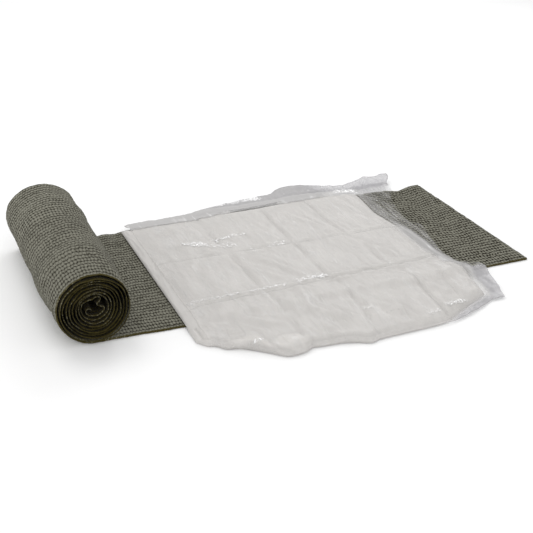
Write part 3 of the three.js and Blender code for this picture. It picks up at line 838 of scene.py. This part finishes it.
@dataclass(frozen=True)
class Glint:
    """A run of painted glints on the film, over raised crackle: both its ends, its half width in mm and
    its strength.
    """

    x: float
    y: float
    to_x: float
    to_y: float
    spread: float
    strength: float

    def over(self, x: Array, y: Array) -> Array:
        """Gives how strong the crackle is at each place."""
        run_x, run_y = self.to_x - self.x, self.to_y - self.y
        share = ((x - self.x) * run_x + (y - self.y) * run_y) / (run_x**2 + run_y**2)
        share = np.clip(share, 0, 1)
        away = np.hypot(x - self.x - share * run_x, y - self.y - share * run_y)
        return self.strength * bell(away, self.spread)


@dataclass(frozen=True)
class FilmPlaces:
    """Where points of the film lie in the plan. Lengths in mm.

    Column is counted in the pad's fold lines, and goes on past its edge. Right, far and near are the
    shares of the way out from the pad to the film's own edges. Share is the share of the pad's
    length, which along runs on past, and across is the share of the wrap's width. Under_x and
    under_y are the pad's nearest place, off_pad is how far outside the pad's right edge a point
    lies, and off_far how far outside its far one. Low is 1 along the near half of the pad's right
    edge, and slit is 1 where the film leaves a dark slit open behind the pad.
    """

    column: Array
    right: Array
    far: Array
    near: Array
    share: Array
    along: Array
    across: Array
    x: Array
    y: Array
    under_x: Array
    under_y: Array
    off_pad: Array
    off_far: Array
    low: Array
    slit: Array


@dataclass
class ClearFilm:
    """The loose crumpled film over the pad, which falls past it to the wrap and the floor.

    Sizes in mm. The right edge and its rise run over shares of the wrap's width, in shares of the
    reach and of the wave. The far and the near edge run over shares of the pad's length, in shares
    of the far reach and of the near margin.
    """

    pad: AbsorbentPad
    wall: float = 0.22
    clearance: float = 0.25
    reach: float = 60.0
    far_reach: float = 36.0
    near_margin: float = 10.0
    corner_pull: float = 14.0
    fall: float = 9.0
    near_fall: float = 6.0
    low_fall: float = 17.0
    far_fall: float = 24.0
    tent_height: float = 5.5
    wave: float = 6.0
    grid_step: float = 1.9
    cut: tuple[float, float] = (0.325, 0.335)
    cut_area: float = 0.097
    right_edge: Curve = Curve(
        (-0.35, 0.2), (-0.26, 0.25), (-0.17, 0.37), (-0.07, 0.465), (-0.01, 0.52), (0.03, 0.5),
        (0.055, 0.3), (0.09, 0.18), (0.16, 0.11), (0.33, 0.22), (0.49, 0.355), (0.57, 0.26),
        (0.69, 0.305), (0.86, 0.485), (0.97, 0.725), (1.04, 0.76), (1.12, 0.95), (1.2, 0.96),
    )
    right_rise: Curve = Curve(
        (-0.26, 0), (-0.17, 0.1), (-0.07, 0.1), (-0.01, 0.05), (0.03, 0.05), (0.055, 0.1),
        (0.16, 0.1), (0.33, 0.2), (0.49, 0.35), (0.57, 0.25), (0.69, 0.3), (0.86, 0.35),
        (0.97, 0.2), (1.04, 0.5), (1.12, 1),
    )
    far_edge: Curve = Curve(
        (0, -0.24), (0.03, -0.02), (0.1, 0.09), (0.17, 0.02), (0.29, 0.07), (0.34, 0.24),
        (0.45, 0.46), (0.6, 0.61), (0.67, 0.66), (0.714, 0.86), (0.784, 1), (0.885, 0.83),
        (0.99, 0.64), (1.05, 0.7), (1.11, 0.88), (1.16, 0.8), (1.19, 0.9), (1.22, 0.86),
    )
    far_rise: Curve = Curve(
        (0, 0.1), (0.04, 0.15), (0.1, 0.2), (0.17, 0.3), (0.29, 0.35), (0.34, 0.45), (0.45, 0.6),
        (0.6, 0.7), (0.67, 0.75), (0.714, 0.85), (0.784, 0.9), (0.885, 0.8), (0.99, 0.5),
        (1.05, 0.8), (1.11, 1),
    )
    near_edge: Curve = Curve(
        (0, 0.12), (0.6, 0.12), (0.7, 0.15), (0.76, 0.25), (0.82, 0.7), (0.87, 0.95), (0.92, 1.1),
        (1, 1.1),
    )
    # runs of painted glints, over small raised creases
    glints: tuple[Glint, ...] = (
        Glint(-357, 22, -262, 24, 4.0, 0.8),
        Glint(-246, 26, -222, 28, 5.5, 0.9),
        Glint(-222, 27, -140, 29, 3.5, 0.55),
        Glint(-323, 131, -309, 128, 5.0, 1.1),
        Glint(-306, 127, -278, 116, 9.0, 0.72),
        Glint(-290, 133, -256, 135, 3.6, 0.85),
        Glint(-243, 101, -226, 106, 7.0, 0.7),
        Glint(-262, 219, -206, 222, 5.5, 0.95),
        Glint(-205, 220, -128, 226, 3.5, 0.4),
        Glint(-108, 206, -84, 200, 9.0, 1.0),
        Glint(-84, 190, -64, 148, 4.0, 0.8),
        Glint(-64, 148, -52, 118, 5.0, 0.35),
        Glint(-212, -35, -206, -36, 4.0, 0.7),
        Glint(-160, -63, -150, -63, 4.0, 0.7),
        Glint(-138, -57, -116, -55, 3.0, 1.0),
        Glint(-205, -52, -180, -50, 1.6, 0.6),
        Glint(-327, -53.5, -319, -56, 1.5, 1.0),
    )

    def _lay_out(self, column: Array, row: Array) -> FilmPlaces:
        """Finds where points of the film lie in the plan.

        Args:
            column: The points' columns, as surface takes them.
            row: Their rows.

        Returns:
            The places.
        """
        pad, width = self.pad, self.pad.wrap.width
        right, far, near = np.clip(column - 5, 0, 1), np.clip(row - 4, 0, 1), np.clip(-row, 0, 1)
        share, under_x, under_y = pad.plan(np.clip(column, 0, 5), np.clip(row, 0, 4))
        along = share + right * (self.reach / pad.length)
        far_to = width + self.far_reach * self.far_edge(along)
        y = mix(under_y, far_to, far) - near * self.near_margin * self.near_edge(along)
        across = y / width
        right_to = pad.start + pad.length + self.reach * self.right_edge(across)
        pull = self.corner_pull * far * (1 - far) * fade(column, 1, 1.5)
        x = mix(under_x, right_to, right) - pull
        return FilmPlaces(
            column, right, far, near, share, along, across, x, y, under_x, under_y,
            off_pad=x - under_x - pad.length * (1 - share),
            off_far=y - pad.far(share),
            low=grow(across, -0.02, 0.03) * fade(across, 0.4, 0.58),
            slit=grow(share, 0.36, 0.46) * fade(share, 0.64, 0.74),
        )

    def _slack(self, at: FilmPlaces) -> Array:
        """Gives how loose the film is: 0 on the pad and 1 out past its edges."""
        past_far = np.maximum((at.y - at.under_y) / self.fall, (at.under_y - at.y) / self.near_fall)
        return smooth(np.maximum((at.x - at.under_x) / self.fall, past_far))

    def _held(self, at: FilmPlaces) -> Array:
        """Gives how far the pad still carries the film: 1 on it and 0 out past its edges."""
        right = fade(at.x - at.under_x, 0, mix(self.fall, self.low_fall, at.low))
        far = fade(at.y - at.under_y, 0, mix(self.far_fall, self.fall, at.slit))
        return right * far * fade(at.under_y - at.y, 0, self.near_fall)

    @staticmethod
    def _tent(at: FilmPlaces) -> Array:
        """Gives where the film spans from the pad's top down past its rim: 1 at the rim."""
        right = fade(at.off_pad, -6, mix(7.0, 18.0, at.low))
        far = mix(fade(at.off_far, -5, 19), fade(at.off_far, -9, -3), at.slit)
        at_rim = grow(np.maximum(at.off_pad, at.off_far), -15, -8)
        return right * far * at_rim * grow(at.across, -0.02, 0.06)

    @staticmethod
    def _crumple(x: Array, y: Array, slack: Array) -> Array:
        """Gives the height of the film's creases, which only stand up from what it lies on."""
        loose = 1.3 * creases(x, 0.22 * y, 12.0, 71) + 0.6 * (1 + dapple(0.3 * x, y, 11.0, 72))
        long_ones = 0.35 * creases(x, 0.5 * y, 16.0, 73) ** 3
        tight = long_ones + 0.25 * creases(x - 0.5 * y, y, 8.0, 74) ** 3
        return np.maximum(mix(tight, loose + tight, slack), 0.0)

    @staticmethod
    def _fold_crackle(column: Array, row: Array, x: Array, y: Array) -> Array:
        """Gives the small sharp crackle along the pad's storage folds, which have bent the film."""
        by_row = bell(row - np.rint(row), 0.07) * (row > 1.5)
        by_column = bell(column - np.rint(column), 0.06) * (column > 1.5)
        return 0.75 * creases(1.6 * x, y, 5.5, 75) ** 2 * np.maximum(by_row, 0.4 * by_column)

    def surface(self, column: Array, row: Array, side: Side) -> Surface:
        """Gives points of the film. Places past the pad's last lines lie out on the loose part.

        Args:
            column: 1 at the film's left edge, 5 at the pad's right edge and 6 at the film's own.
            row: -1 at the film's near edge, 0 at the pad's, 4 at its far edge and 5 at the film's.
            side: Which of its two faces.

        Returns:
            The points, their places on the flat film, and what tones the film there, painted glints and
            painted light among it.
        """
        at = self._lay_out(column, row)
        on_column, on_row = np.clip(column, 0, 5), np.clip(row, 0, 4)
        held, slack = self._held(at), self._slack(at)
        rise = np.maximum(at.right * self.right_rise(at.across), at.far * self.far_rise(at.along))
        loose = slack * (1 - 0.6 * grow(at.far, 0, 1 / 9) * fade(at.share, 0.2, 0.35))
        loose = loose * (1 - 0.8 * at.low * fade(at.off_pad, 8, 16))
        level = mix(self.pad.level(at.y), self.pad.level(at.under_y), held)
        lift = np.maximum(held * self.pad.cover(on_column, on_row), self.tent_height * self._tent(at))
        # bright places the painted glints, through the crackle tag, and raises small creases under them
        bright = sum(glint.over(at.x, at.y) for glint in self.glints)
        sparkle = 0.5 * np.minimum(bright, 1.0) * creases(at.x, at.y, 4.2, 78)
        z = level + lift + self.clearance + self.wave * rise + self._crumple(at.x, at.y, loose)
        z = z + self._fold_crackle(on_column, on_row, at.x, at.y) * held + sparkle
        z = z + (self.wall if side is Side.UPPER else 0.0)
        tags = {"slack": slack, "crackle": np.minimum(bright, 1.2), **self._tones(at, slack)}
        return np.stack([at.x, at.y, z], -1), np.stack([at.x, at.y], -1), tags

    def _tones(self, at: FilmPlaces, slack: Array) -> dict[str, Array]:
        """Gives what the finish tones: film on the wrap, a milky haze beside the pad that also paints
        light over the shade of its edge, painted light over the shade of its rim, and the milky hem
        with a painted gleam on the pad's bulge.

        Args:
            at: The places.
            slack: How loose the film is there.

        Returns:
            The values by name.
        """
        past_x, past_far = at.x - at.under_x, at.y - self.pad.wrap.width
        on_wrap = slack * grow(at.y, 0, 4) * fade(past_far, 0, 4) * grow(past_x, 0, 2)
        # beside: a milky haze that also paints light over the shade at the pad's right edge
        beside = smooth((past_x + 1.5 * (at.across < 0.42)) / 1.6) * fade(past_x, 2, 19)
        beside = beside * grow(at.y, -4, 4) * grow(at.column, 4.96, 5)
        beside = beside * (1 - 0.75 * at.low) * (1 - 0.6 * grow(at.across, 0.45, 0.6))
        slit = at.slit * fade(at.far, 0.15, 0.25)
        behind = grow(at.off_far, -9, -3) * (1 - slit) * fade(at.share, 0.8, 0.95)
        # painted light: pale opaque film over the shade at the pad's right rim, its near corner and its
        # far rim
        right_rim = grow(at.off_pad, -13, -3) * fade(at.off_pad, 1, 12) * at.low
        corner = 1.1 * bell(at.off_pad, 6) * bell(at.y - 1, 9)
        far_rim = 1.6 * behind * (1 - 0.6 * grow(past_far, 3, 11))
        # a painted gleam on the pad's bulge, added to the milky hem
        bulge = bell(at.share - 0.262, 0.04) * bell(-at.y / self.pad.overhang - 0.74, 0.15)
        hem = at.near + 0.7 * grow(at.right, 0, 0.25) * fade(at.y, -8, 6) * (1 - at.near)
        return {
            "on_wrap": on_wrap,
            "shroud": beside * fade(past_far, 0, 3),
            "painted_rim_light": np.maximum(np.maximum(right_rim, corner), far_rim),
            "milk_and_gleam": hem * grow(at.along, 0.6, 0.9) + 0.2 * bulge,
        }

    def build(self, finish: "FilmFinish") -> bpy.types.Object:
        """Makes the film and dresses it.

        Args:
            finish: The clear film.

        Returns:
            The film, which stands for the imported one.
        """
        panel = self.pad.length / 4
        columns = np.concatenate([
            stations_by_fold((1, 2, 3, 4, 5), self.grid_step, panel)[:-1],
            stations(5, 6, 1 / 26),
        ])
        rows = np.concatenate([
            stations(-1, 0, 0.2)[:-1],
            stations_by_fold((0, 1, 2, 3, 4), self.grid_step, 72.0)[:-1],
            stations(4, 5, 1 / 20),
        ])
        piece = Sheet("clear_film_sheet", columns, rows).build(self.surface)
        piece.data.materials.append(finish.material())
        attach(piece, "root")
        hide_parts("clear_film")
        return piece


class Number:
    """A number in a node tree, which takes Python's arithmetic."""

    def __init__(self, tree: "Tree", socket: bpy.types.NodeSocket) -> None:
        """Keeps the tree and the socket that the number comes out of."""
        self.tree = tree
        self.socket = socket

    def _math(self, operation: str, *values: "Number | float") -> "Number":
        """Adds one Math node."""
        node = self.tree.node("ShaderNodeMath", {"operation": operation}, dict(enumerate(values)))
        return Number(self.tree, node.outputs[0])

    def __add__(self, other: "Number | float") -> "Number":
        """Adds."""
        return self._math("ADD", self, other)

    def __radd__(self, other: float) -> "Number":
        """Adds, with the number second."""
        return self._math("ADD", other, self)

    def __sub__(self, other: "Number | float") -> "Number":
        """Takes away."""
        return self._math("SUBTRACT", self, other)

    def __rsub__(self, other: float) -> "Number":
        """Takes the number away from another."""
        return self._math("SUBTRACT", other, self)

    def __mul__(self, other: "Number | float") -> "Number":
        """Multiplies."""
        return self._math("MULTIPLY", self, other)

    def __rmul__(self, other: float) -> "Number":
        """Multiplies, with the number second."""
        return self._math("MULTIPLY", other, self)

    def __truediv__(self, other: "Number | float") -> "Number":
        """Divides."""
        return self._math("DIVIDE", self, other)

    def __pow__(self, other: "Number | float") -> "Number":
        """Raises to a power."""
        return self._math("POWER", self, other)

    def sine(self) -> "Number":
        """Gives the sine."""
        return self._math("SINE", self)

    def floor(self) -> "Number":
        """Rounds down to a whole number."""
        return self._math("FLOOR", self)

    def size(self) -> "Number":
        """Gives the number without its sign."""
        return self._math("ABSOLUTE", self)

    def at_most(self, other: "Number | float") -> "Number":
        """Gives the smaller of two."""
        return self._math("MINIMUM", self, other)

    def at_least(self, other: "Number | float") -> "Number":
        """Gives the larger of two."""
        return self._math("MAXIMUM", self, other)

    def held(self) -> "Number":
        """Holds the number between 0 and 1."""
        return self.at_least(0.0).at_most(1.0)

    def ramp(self, start: float, end: float) -> "Number":
        """Goes from 0 to 1 as the number goes from start to end."""
        return ((self - start) / (end - start)).held()

    def line(self, sharpness: float) -> "Number":
        """Draws thin lines, 1 where the number is a half, the thinner the sharper."""
        return (1.0 - (self - 0.5).size() * sharpness).held()


class Tree:
    """A material's nodes, around one Principled shader."""

    def __init__(self, name: str, constants: dict[str, object]) -> None:
        """Starts a material.

        Args:
            name: The material's name.
            constants: What is the same all over, by the shader's socket names.
        """
        self.material = bpy.data.materials.new(name)
        self.material.use_nodes = True
        self.nodes = self.material.node_tree.nodes
        self.links = self.material.node_tree.links
        self.shader = next(node for node in self.nodes if node.type == "BSDF_PRINCIPLED")
        for socket, value in constants.items():
            self.shader.inputs[socket].default_value = value

    def node(
        self, kind: str, settings: dict[str, object], values: dict[int | str, object]
    ) -> bpy.types.Node:
        """Adds a node.

        Args:
            kind: The node's type.
            settings: Its properties, which are set first.
            values: The values or links of its sockets, by name or place.

        Returns:
            The node.
        """
        node = self.nodes.new(kind)
        for name, value in settings.items():
            setattr(node, name, value)
        for socket, value in values.items():
            self.feed(node.inputs[socket], value)
        return node

    def feed(self, socket: bpy.types.NodeSocket, value: object) -> None:
        """Links a number or a socket, or sets a plain value."""
        if isinstance(value, Number):
            value = value.socket
        if isinstance(value, bpy.types.NodeSocket):
            self.links.new(value, socket)
        else:
            socket.default_value = value

    def cloth(self) -> tuple[bpy.types.NodeSocket, Number, Number]:
        """Gives the place on the flat cloth in mm: as a vector, along it and across it."""
        uv = self.node("ShaderNodeUVMap", {"uv_map": "cloth"}, {})
        to_mm = {0: uv.outputs[0], "Scale": 1.0 / MM}
        place = self.node("ShaderNodeVectorMath", {"operation": "SCALE"}, to_mm)
        parts = self.node("ShaderNodeSeparateXYZ", {}, {0: place.outputs[0]})
        return place.outputs[0], Number(self, parts.outputs[0]), Number(self, parts.outputs[1])

    def stretched(
        self, vector: bpy.types.NodeSocket, factors: tuple[float, float, float]
    ) -> bpy.types.NodeSocket:
        """Multiplies a place by factors of its own for each direction."""
        node = self.node("ShaderNodeVectorMath", {"operation": "MULTIPLY"}, {0: vector, 1: factors})
        return node.outputs[0]

    def attribute(self, name: str) -> Number:
        """Reads a named value of the mesh."""
        node = self.node("ShaderNodeAttribute", {"attribute_name": name}, {})
        return Number(self, node.outputs["Fac"])

    def noise(
        self, vector: object, pitch: float, detail: float = 2.0, roughness: float = 0.5
    ) -> Number:
        """Gives a noise from 0 to 1 with features about one pitch apart, in mm."""
        node = self.node("ShaderNodeTexNoise", {}, {
            "Vector": vector, "Scale": 1.0 / pitch, "Detail": detail, "Roughness": roughness,
        })
        return Number(self, node.outputs["Fac"])

    def dice(self, first: Number | float, second: Number | float) -> Number:
        """Gives a number from 0 to 1 of its own for each pair of whole numbers."""
        pair = self.node("ShaderNodeCombineXYZ", {}, {0: first, 1: second})
        settings, values = {"noise_dimensions": "2D"}, {"Vector": pair.outputs[0]}
        node = self.node("ShaderNodeTexWhiteNoise", settings, values)
        return Number(self, node.outputs["Value"])

    def blend(self, share: object, start: object, end: object) -> bpy.types.NodeSocket:
        """Goes from one colour to another by a share."""
        node = self.node("ShaderNodeMix", {"data_type": "RGBA"}, {0: share, 6: start, 7: end})
        return node.outputs[2]

    def bump(self, height: Number, distance: float, strength: float = 1.0) -> None:
        """Raises the surface by a height in shares of a distance, in mm."""
        node = self.node("ShaderNodeBump", {}, {
            "Height": height, "Distance": distance * MM, "Strength": strength,
        })
        self.feed(self.shader.inputs["Normal"], node.outputs[0])

    def colour(self, value: object) -> None:
        """Feeds the base colour."""
        self.feed(self.shader.inputs["Base Color"], value)

    def roughness(self, value: Number) -> None:
        """Feeds the roughness."""
        self.feed(self.shader.inputs["Roughness"], value)


@dataclass(frozen=True)
class CrepeFinish:
    """Crinkled elastic crepe: rows of light yarn bumps with dark olive gaps, and a dark selvedge.

    Near its free end the cloth is relaxed, with longer bumps and deeper gaps. Inside the roll its
    colour is painted shade, near black. Lengths in mm along and across the cloth.
    """

    yarn: Colour = (0.236, 0.230, 0.186, 1.0)
    gap: Colour = (0.012, 0.010, 0.002, 1.0)
    selvedge: Colour = (0.066, 0.054, 0.015, 1.0)
    loose_yarn: Colour = (0.30, 0.285, 0.21, 1.0)
    # deep and wall are painted shade: the near black tones of the cloth inside the roll
    deep: Colour = (0.007, 0.006, 0.002, 1.0)
    wall: Colour = (0.036, 0.029, 0.009, 1.0)
    row_pitch: float = 5.05
    cell_pitch: float = 2.75
    bump_height: float = 1.5
    relaxed_until: float = 80.0
    taut_from: float = 150.0
    relaxed_longer: float = 0.24

    def _bumps(self, tree: Tree, place: bpy.types.NodeSocket, relaxed: Number) -> Number:
        """Gives the height of the yarn bumps, from 0 in the gaps to about 1.

        Args:
            tree: The material's nodes.
            place: The place on the flat cloth.
            relaxed: 1 where the cloth is relaxed.

        Returns:
            The height.
        """
        _, along, across = tree.cloth()
        sway = tree.noise(place, 30.0) - 0.5
        jitter = tree.noise(place, 5.0) - 0.5
        along = along - self.relaxed_longer * along.at_most(self.taut_from)
        shaken = along + 3.0 * sway + 2.0 * jitter
        zigzag = ((along + 2.0 * jitter) * (math.pi / self.cell_pitch)).sine()
        rows = (across + 3.5 * sway + 1.8 * jitter + 0.45 * zigzag) / self.row_pitch
        row = rows.floor()
        offset = 0.5 * row + 0.5 * tree.dice(row, 0.0)
        cells = shaken / self.cell_pitch + offset
        bead = tree.dice(row, cells.floor())
        bridge = (shaken * (math.pi / self.cell_pitch)).sine().size()
        crown = (rows * math.pi).sine().size()
        crown = crown + 0.5 * bridge * (1.0 - crown)
        waist = (cells * math.pi).sine().size()
        fuzz = tree.noise(place, 0.8, 3.0, 0.6)
        pinch = 0.45 + 0.2 * relaxed
        height = crown ** 0.9 * (1.0 - pinch * (1.0 - waist ** 0.6))
        return height * (0.76 + 0.32 * bead) + 0.35 * (fuzz - 0.5)

    def _selvedge_tone(self, tree: Tree, place: bpy.types.NodeSocket) -> bpy.types.NodeSocket:
        """Gives the selvedge's colour, with light loose yarn in stretches of the near edge."""
        _, _, across = tree.cloth()
        stretches = tree.noise(tree.stretched(place, (1.0, 0.0, 0.0)), 38.0).ramp(0.5, 0.6)
        stretches = stretches.at_least(0.9 * tree.attribute("core"))
        dots = tree.noise(place, 1.7).ramp(0.48, 0.58) * stretches * (1.0 - across.ramp(0.7, 1.5))
        return tree.blend(dots * 0.6, self.selvedge, self.loose_yarn)

    def material(self) -> bpy.types.Material:
        """Makes the material."""
        tree = Tree("crepe", {"Roughness": 0.95, "Specular IOR Level": 0.06, "Sheen Weight": 0.04})
        place, along, across = tree.cloth()
        relaxed = 1.0 - along.ramp(self.relaxed_until, self.taut_from)
        height = self._bumps(tree, place, relaxed)
        worn = tree.noise(tree.stretched(place, (0.5, 1.0, 1.0)), 18.0, 3.0)
        lit = (height + 0.3 * (worn - 0.5)).ramp(0.3, 0.8)
        wound = tree.attribute("wound") * (0.6 * across.ramp(110.0, 180.0) - 0.15)
        tone = (0.5 + (lit - 0.5) * (1.0 + 0.9 * relaxed + wound)).held()
        weave = tree.blend(tone, self.gap, self.yarn)
        # painted shade inside the roll, which takes over from the weave
        painted_roll_shade = tree.blend(lit, self.deep, self.wall)
        weave = tree.blend(tree.attribute("shaded_in_roll"), weave, painted_roll_shade)
        rim = 1.0 - tree.attribute("inside").ramp(0.8, 1.7)
        tree.colour(tree.blend(rim * 0.94, weave, self._selvedge_tone(tree, place)))
        tree.bump(height, self.bump_height)
        return tree.material


@dataclass(frozen=True)
class WaddingFinish:
    """Soft white non-woven cloth over wadding, with a random mottle, painted highlight on its crests
    and painted shade in its folds.
    """

    # light and shade tone both the random mottle and the painted highlight and shade
    light: Colour = (0.68, 0.66, 0.636, 1.0)
    shade: Colour = (0.41, 0.397, 0.384, 1.0)
    fibre_lean: float = 0.9
    bump_height: float = 1.2

    def material(self) -> bpy.types.Material:
        """Makes the material."""
        tree = Tree("non_woven", {
            "Roughness": 0.9, "Specular IOR Level": 0.2, "Sheen Weight": 0.2, "Subsurface Weight": 0.0,
        })
        place, _, _ = tree.cloth()
        slant = tree.node("ShaderNodeMapping", {}, {
            "Vector": place, "Rotation": (0, 0, self.fibre_lean), "Scale": (1, 0.22, 1),
        }).outputs[0]
        fibres = tree.noise(slant, 1.3, 4.0, 0.65)
        cloud = tree.noise(place, 26.0, 3.0)
        streak = tree.noise(tree.stretched(slant, (1.0, 0.6, 1.0)), 6.5, 2.0)
        # painted highlight and shade from the crests, hollows and the turned near edge
        relief = 0.11 * tree.attribute("crest") + 0.38 * tree.attribute("painted_edge_tone")
        mottle = (0.35 * fibres + 0.4 * cloud + 0.45 * streak).ramp(0.38, 0.8)
        tree.colour(tree.blend((0.36 + 0.28 * mottle + relief).held(), self.shade, self.light))
        long_lines = tree.noise(tree.stretched(place, (1.0, 0.14, 1.0)), 15.0, 2.0).line(9.0)
        short_lines = tree.noise(tree.stretched(place, (1.0, 0.3, 1.0)), 9.0, 2.0).line(8.0)
        patches = tree.noise(place, 40.0, 1.0).ramp(0.4, 0.62)
        lines = long_lines * (0.35 + 0.65 * patches) + 0.5 * short_lines * (1.0 - patches)
        tree.bump(0.7 * lines + 0.25 * streak + 0.1 * fibres, self.bump_height, 0.7)
        return tree.material


@dataclass(frozen=True)
class FilmFinish:
    """Thin clear film: a lilac grey haze with painted glints on its creases.

    Lying is its tone on the pad, haze where it is loose, over_wrap where it lies on the wrap, and
    painted_rim_tone is painted light, a pale tone that covers the shade where it spans the pad's rim.
    """

    lying: Colour = (0.90, 0.88, 0.86, 1.0)
    haze: Colour = (0.32, 0.308, 0.327, 1.0)
    over_wrap: Colour = (0.52, 0.51, 0.505, 1.0)
    painted_rim_tone: Colour = (0.475, 0.466, 0.462, 1.0)
    white: Colour = (0.97, 0.97, 0.97, 1.0)
    held_alpha: float = 0.12
    loose_alpha: float = 0.42
    bump_height: float = 0.8

    @staticmethod
    def _glint(tree: Tree, place: bpy.types.NodeSocket) -> Number:
        """Gives the painted glints: white specks and threads on the crackled places."""
        crackle = tree.attribute("crackle")
        thread = 0.25 + 0.75 * tree.noise(place, 4.2, 1.0).line(13.0)
        speck = (crackle * 0.5 + tree.noise(place, 2.6, 2.0, 0.6)).ramp(0.78, 0.98)
        return thread * speck * crackle.ramp(0.1, 0.4) * (1.0 - 0.8 * tree.attribute("on_wrap"))

    def material(self) -> bpy.types.Material:
        """Makes the material."""
        tree = Tree("clear_film", {"IOR": 1.5})
        place, _, _ = tree.cloth()
        slack, on_wrap, shroud = (tree.attribute(name) for name in ("slack", "on_wrap", "shroud"))
        milk_and_gleam, painted_rim_light = tree.attribute("milk_and_gleam"), tree.attribute("painted_rim_light")

        def streaks(narrow: float, pitch: float, detail: float = 1.0) -> Number:
            """Gives a noise drawn out across the wrap."""
            return tree.noise(tree.stretched(place, (1.0, narrow, 1.0)), pitch, detail)

        crinkle, fine, streak = streaks(0.4, 9.0, 2.0), streaks(0.35, 2.6), streaks(0.1, 6.0)
        drawn = streaks(0.09, 9.0).line(11.0) * streak.ramp(0.4, 0.6)
        # bent draws painted highlight: thin white lines on the film's creases over the pad
        bent = streaks(0.1, 15.0).line(26.0) * tree.noise(place, 22.0, 2.0).ramp(0.42, 0.6)
        bent = bent * (1.0 - slack)
        glint = self._glint(tree, place)
        cover = self.held_alpha + (self.loose_alpha - self.held_alpha) * slack
        cover = cover * (1.0 - on_wrap * (0.94 - 0.3 * streak.ramp(0.4, 0.75)))
        cover = cover + 0.17 * on_wrap * drawn + 0.07 * bent + 0.3 * shroud * (0.5 + streak)
        # painted light: the film turns pale and opaque over the shade at the pad's rim
        cover = cover + 0.2 * milk_and_gleam + painted_rim_light * (0.5 + 0.35 * streak)
        tree.feed(tree.shader.inputs["Alpha"], (cover + glint).held())
        tone = tree.blend(slack, self.lying, self.haze)
        tone = tree.blend((shroud + 0.8 * on_wrap).held(), tone, self.over_wrap)
        tone = tree.blend(painted_rim_light, tone, self.painted_rim_tone)
        tone = tree.blend(0.5 * bent, tone, self.white)
        # the milky hem, the painted gleam on the bulge and the painted glints turn the tone white
        tree.colour(tree.blend((0.4 * milk_and_gleam + glint * 1.4).held(), tone, self.white))
        tree.roughness(0.16 + 0.16 * fine + 0.4 * painted_rim_light)
        tree.bump(crinkle + 0.2 * fine + 0.5 * glint, self.bump_height, 0.45)
        return tree.material


@dataclass(frozen=True)
class FloorFinish:
    """A plain pale floor."""

    tone: Colour = (0.98, 0.98, 0.98, 1.0)

    def material(self) -> bpy.types.Material:
        """Makes the material."""
        constants = {"Base Color": self.tone, "Roughness": 1.0, "Specular IOR Level": 0.0}
        return Tree("pale_floor", constants).material


@dataclass(frozen=True)
class SoftBox:
    """A square studio light, aimed at the middle of the bandage. Lengths in metres."""

    name: str
    place: tuple[float, float, float]
    side: float
    power: float


@dataclass
class Studio:
    """The floor, the soft lights and the camera at the photograph's angle.

    The camera's place is in mm from the layout's zero point, its angles are in degrees, and its focal
    length is counted in the photograph's pixels.
    """

    camera_place: tuple[float, float, float] = (-595.3, -634.0, 416.7)
    azimuth: float = 25.47
    pitch: float = 27.83
    roll: float = 2.49
    focal_pixels: float = 910.5
    frame_pixels: float = 533.0
    sensor_width: float = 36.0
    floor_size: float = 6.0
    sky: float = 0.74
    boxes: tuple[SoftBox, ...] = (
        SoftBox("key_light", (-0.35, 0.7, 1.2), 0.7, 4.0),
        SoftBox("back_light", (0.7, 1.0, 0.9), 0.7, 4.0),
        SoftBox("left_fill", (-1.2, 0.35, 0.35), 0.6, 2.0),
        SoftBox("front_fill", (-0.2, -1.2, 0.75), 0.6, 3.0),
    )

    def floor(self, finish: FloorFinish) -> bpy.types.Object:
        """Lays the floor under the bandage."""
        grid = bmesh.new()
        bmesh.ops.create_grid(grid, x_segments=2, y_segments=2, size=self.floor_size)
        mesh = bpy.data.meshes.new("floor")
        grid.to_mesh(mesh)
        grid.free()
        piece = bpy.data.objects.new("floor", mesh)
        bpy.context.scene.collection.objects.link(piece)
        mesh.materials.append(finish.material())
        return piece

    def lights(self) -> None:
        """Hangs the soft boxes and fills the room with even light."""
        for box in self.boxes:
            light = bpy.data.lights.new(box.name, "AREA")
            light.shape, light.size, light.energy = "SQUARE", box.side, box.power
            lamp = bpy.data.objects.new(box.name, light)
            lamp.location = box.place
            lamp.rotation_euler = (-Vector(box.place)).to_track_quat("-Z", "Y").to_euler()
            bpy.context.scene.collection.objects.link(lamp)
        room = bpy.data.worlds.new("room")
        room.use_nodes = True
        background = room.node_tree.nodes["Background"]
        background.inputs["Color"].default_value = (1.0, 1.0, 1.0, 1.0)
        background.inputs["Strength"].default_value = self.sky
        bpy.context.scene.world = room
        bpy.context.scene.view_settings.view_transform = "Standard"

    def camera(self) -> bpy.types.Object:
        """Sets the camera up where the photograph was taken."""
        turn, tip, lean = map(math.radians, (self.azimuth, self.pitch, self.roll))
        ahead = Vector((math.sin(turn), math.cos(turn), 0.0))
        forward = math.cos(tip) * ahead - math.sin(tip) * Vector((0.0, 0.0, 1.0))
        level = Vector((math.cos(turn), -math.sin(turn), 0.0))
        above = level.cross(forward)
        right = math.cos(lean) * level + math.sin(lean) * above
        up = math.cos(lean) * above - math.sin(lean) * level
        lens = bpy.data.cameras.new("photo_camera")
        lens.sensor_width = self.sensor_width
        lens.lens = self.sensor_width * self.focal_pixels / self.frame_pixels
        lens.clip_start, lens.clip_end = 0.01, 50.0
        camera = bpy.data.objects.new("photo_camera", lens)
        pose = Matrix((right, up, -forward)).transposed().to_4x4()
        pose.translation = Vector(np.array(self.camera_place) * MM + row_frame_shift())
        camera.matrix_world = pose
        bpy.context.scene.collection.objects.link(camera)
        bpy.context.scene.camera = camera
        return camera


def main() -> None:
    """Builds the studio and the three pieces of the bandage, in order."""
    logging.basicConfig(level=logging.INFO, format="%(name)s: %(message)s")
    studio = Studio()
    studio.camera()
    studio.floor(FloorFinish())
    studio.lights()
    wrap = ElasticWrap()
    pad = AbsorbentPad(wrap)
    film = ClearFilm(pad)
    for part, finish in ((wrap, CrepeFinish()), (pad, WaddingFinish()), (film, FilmFinish())):
        piece = part.build(finish)
        LOG.info("%s: %d faces", piece.name, len(piece.data.polygons))


if __name__ == "__main__":
    main()
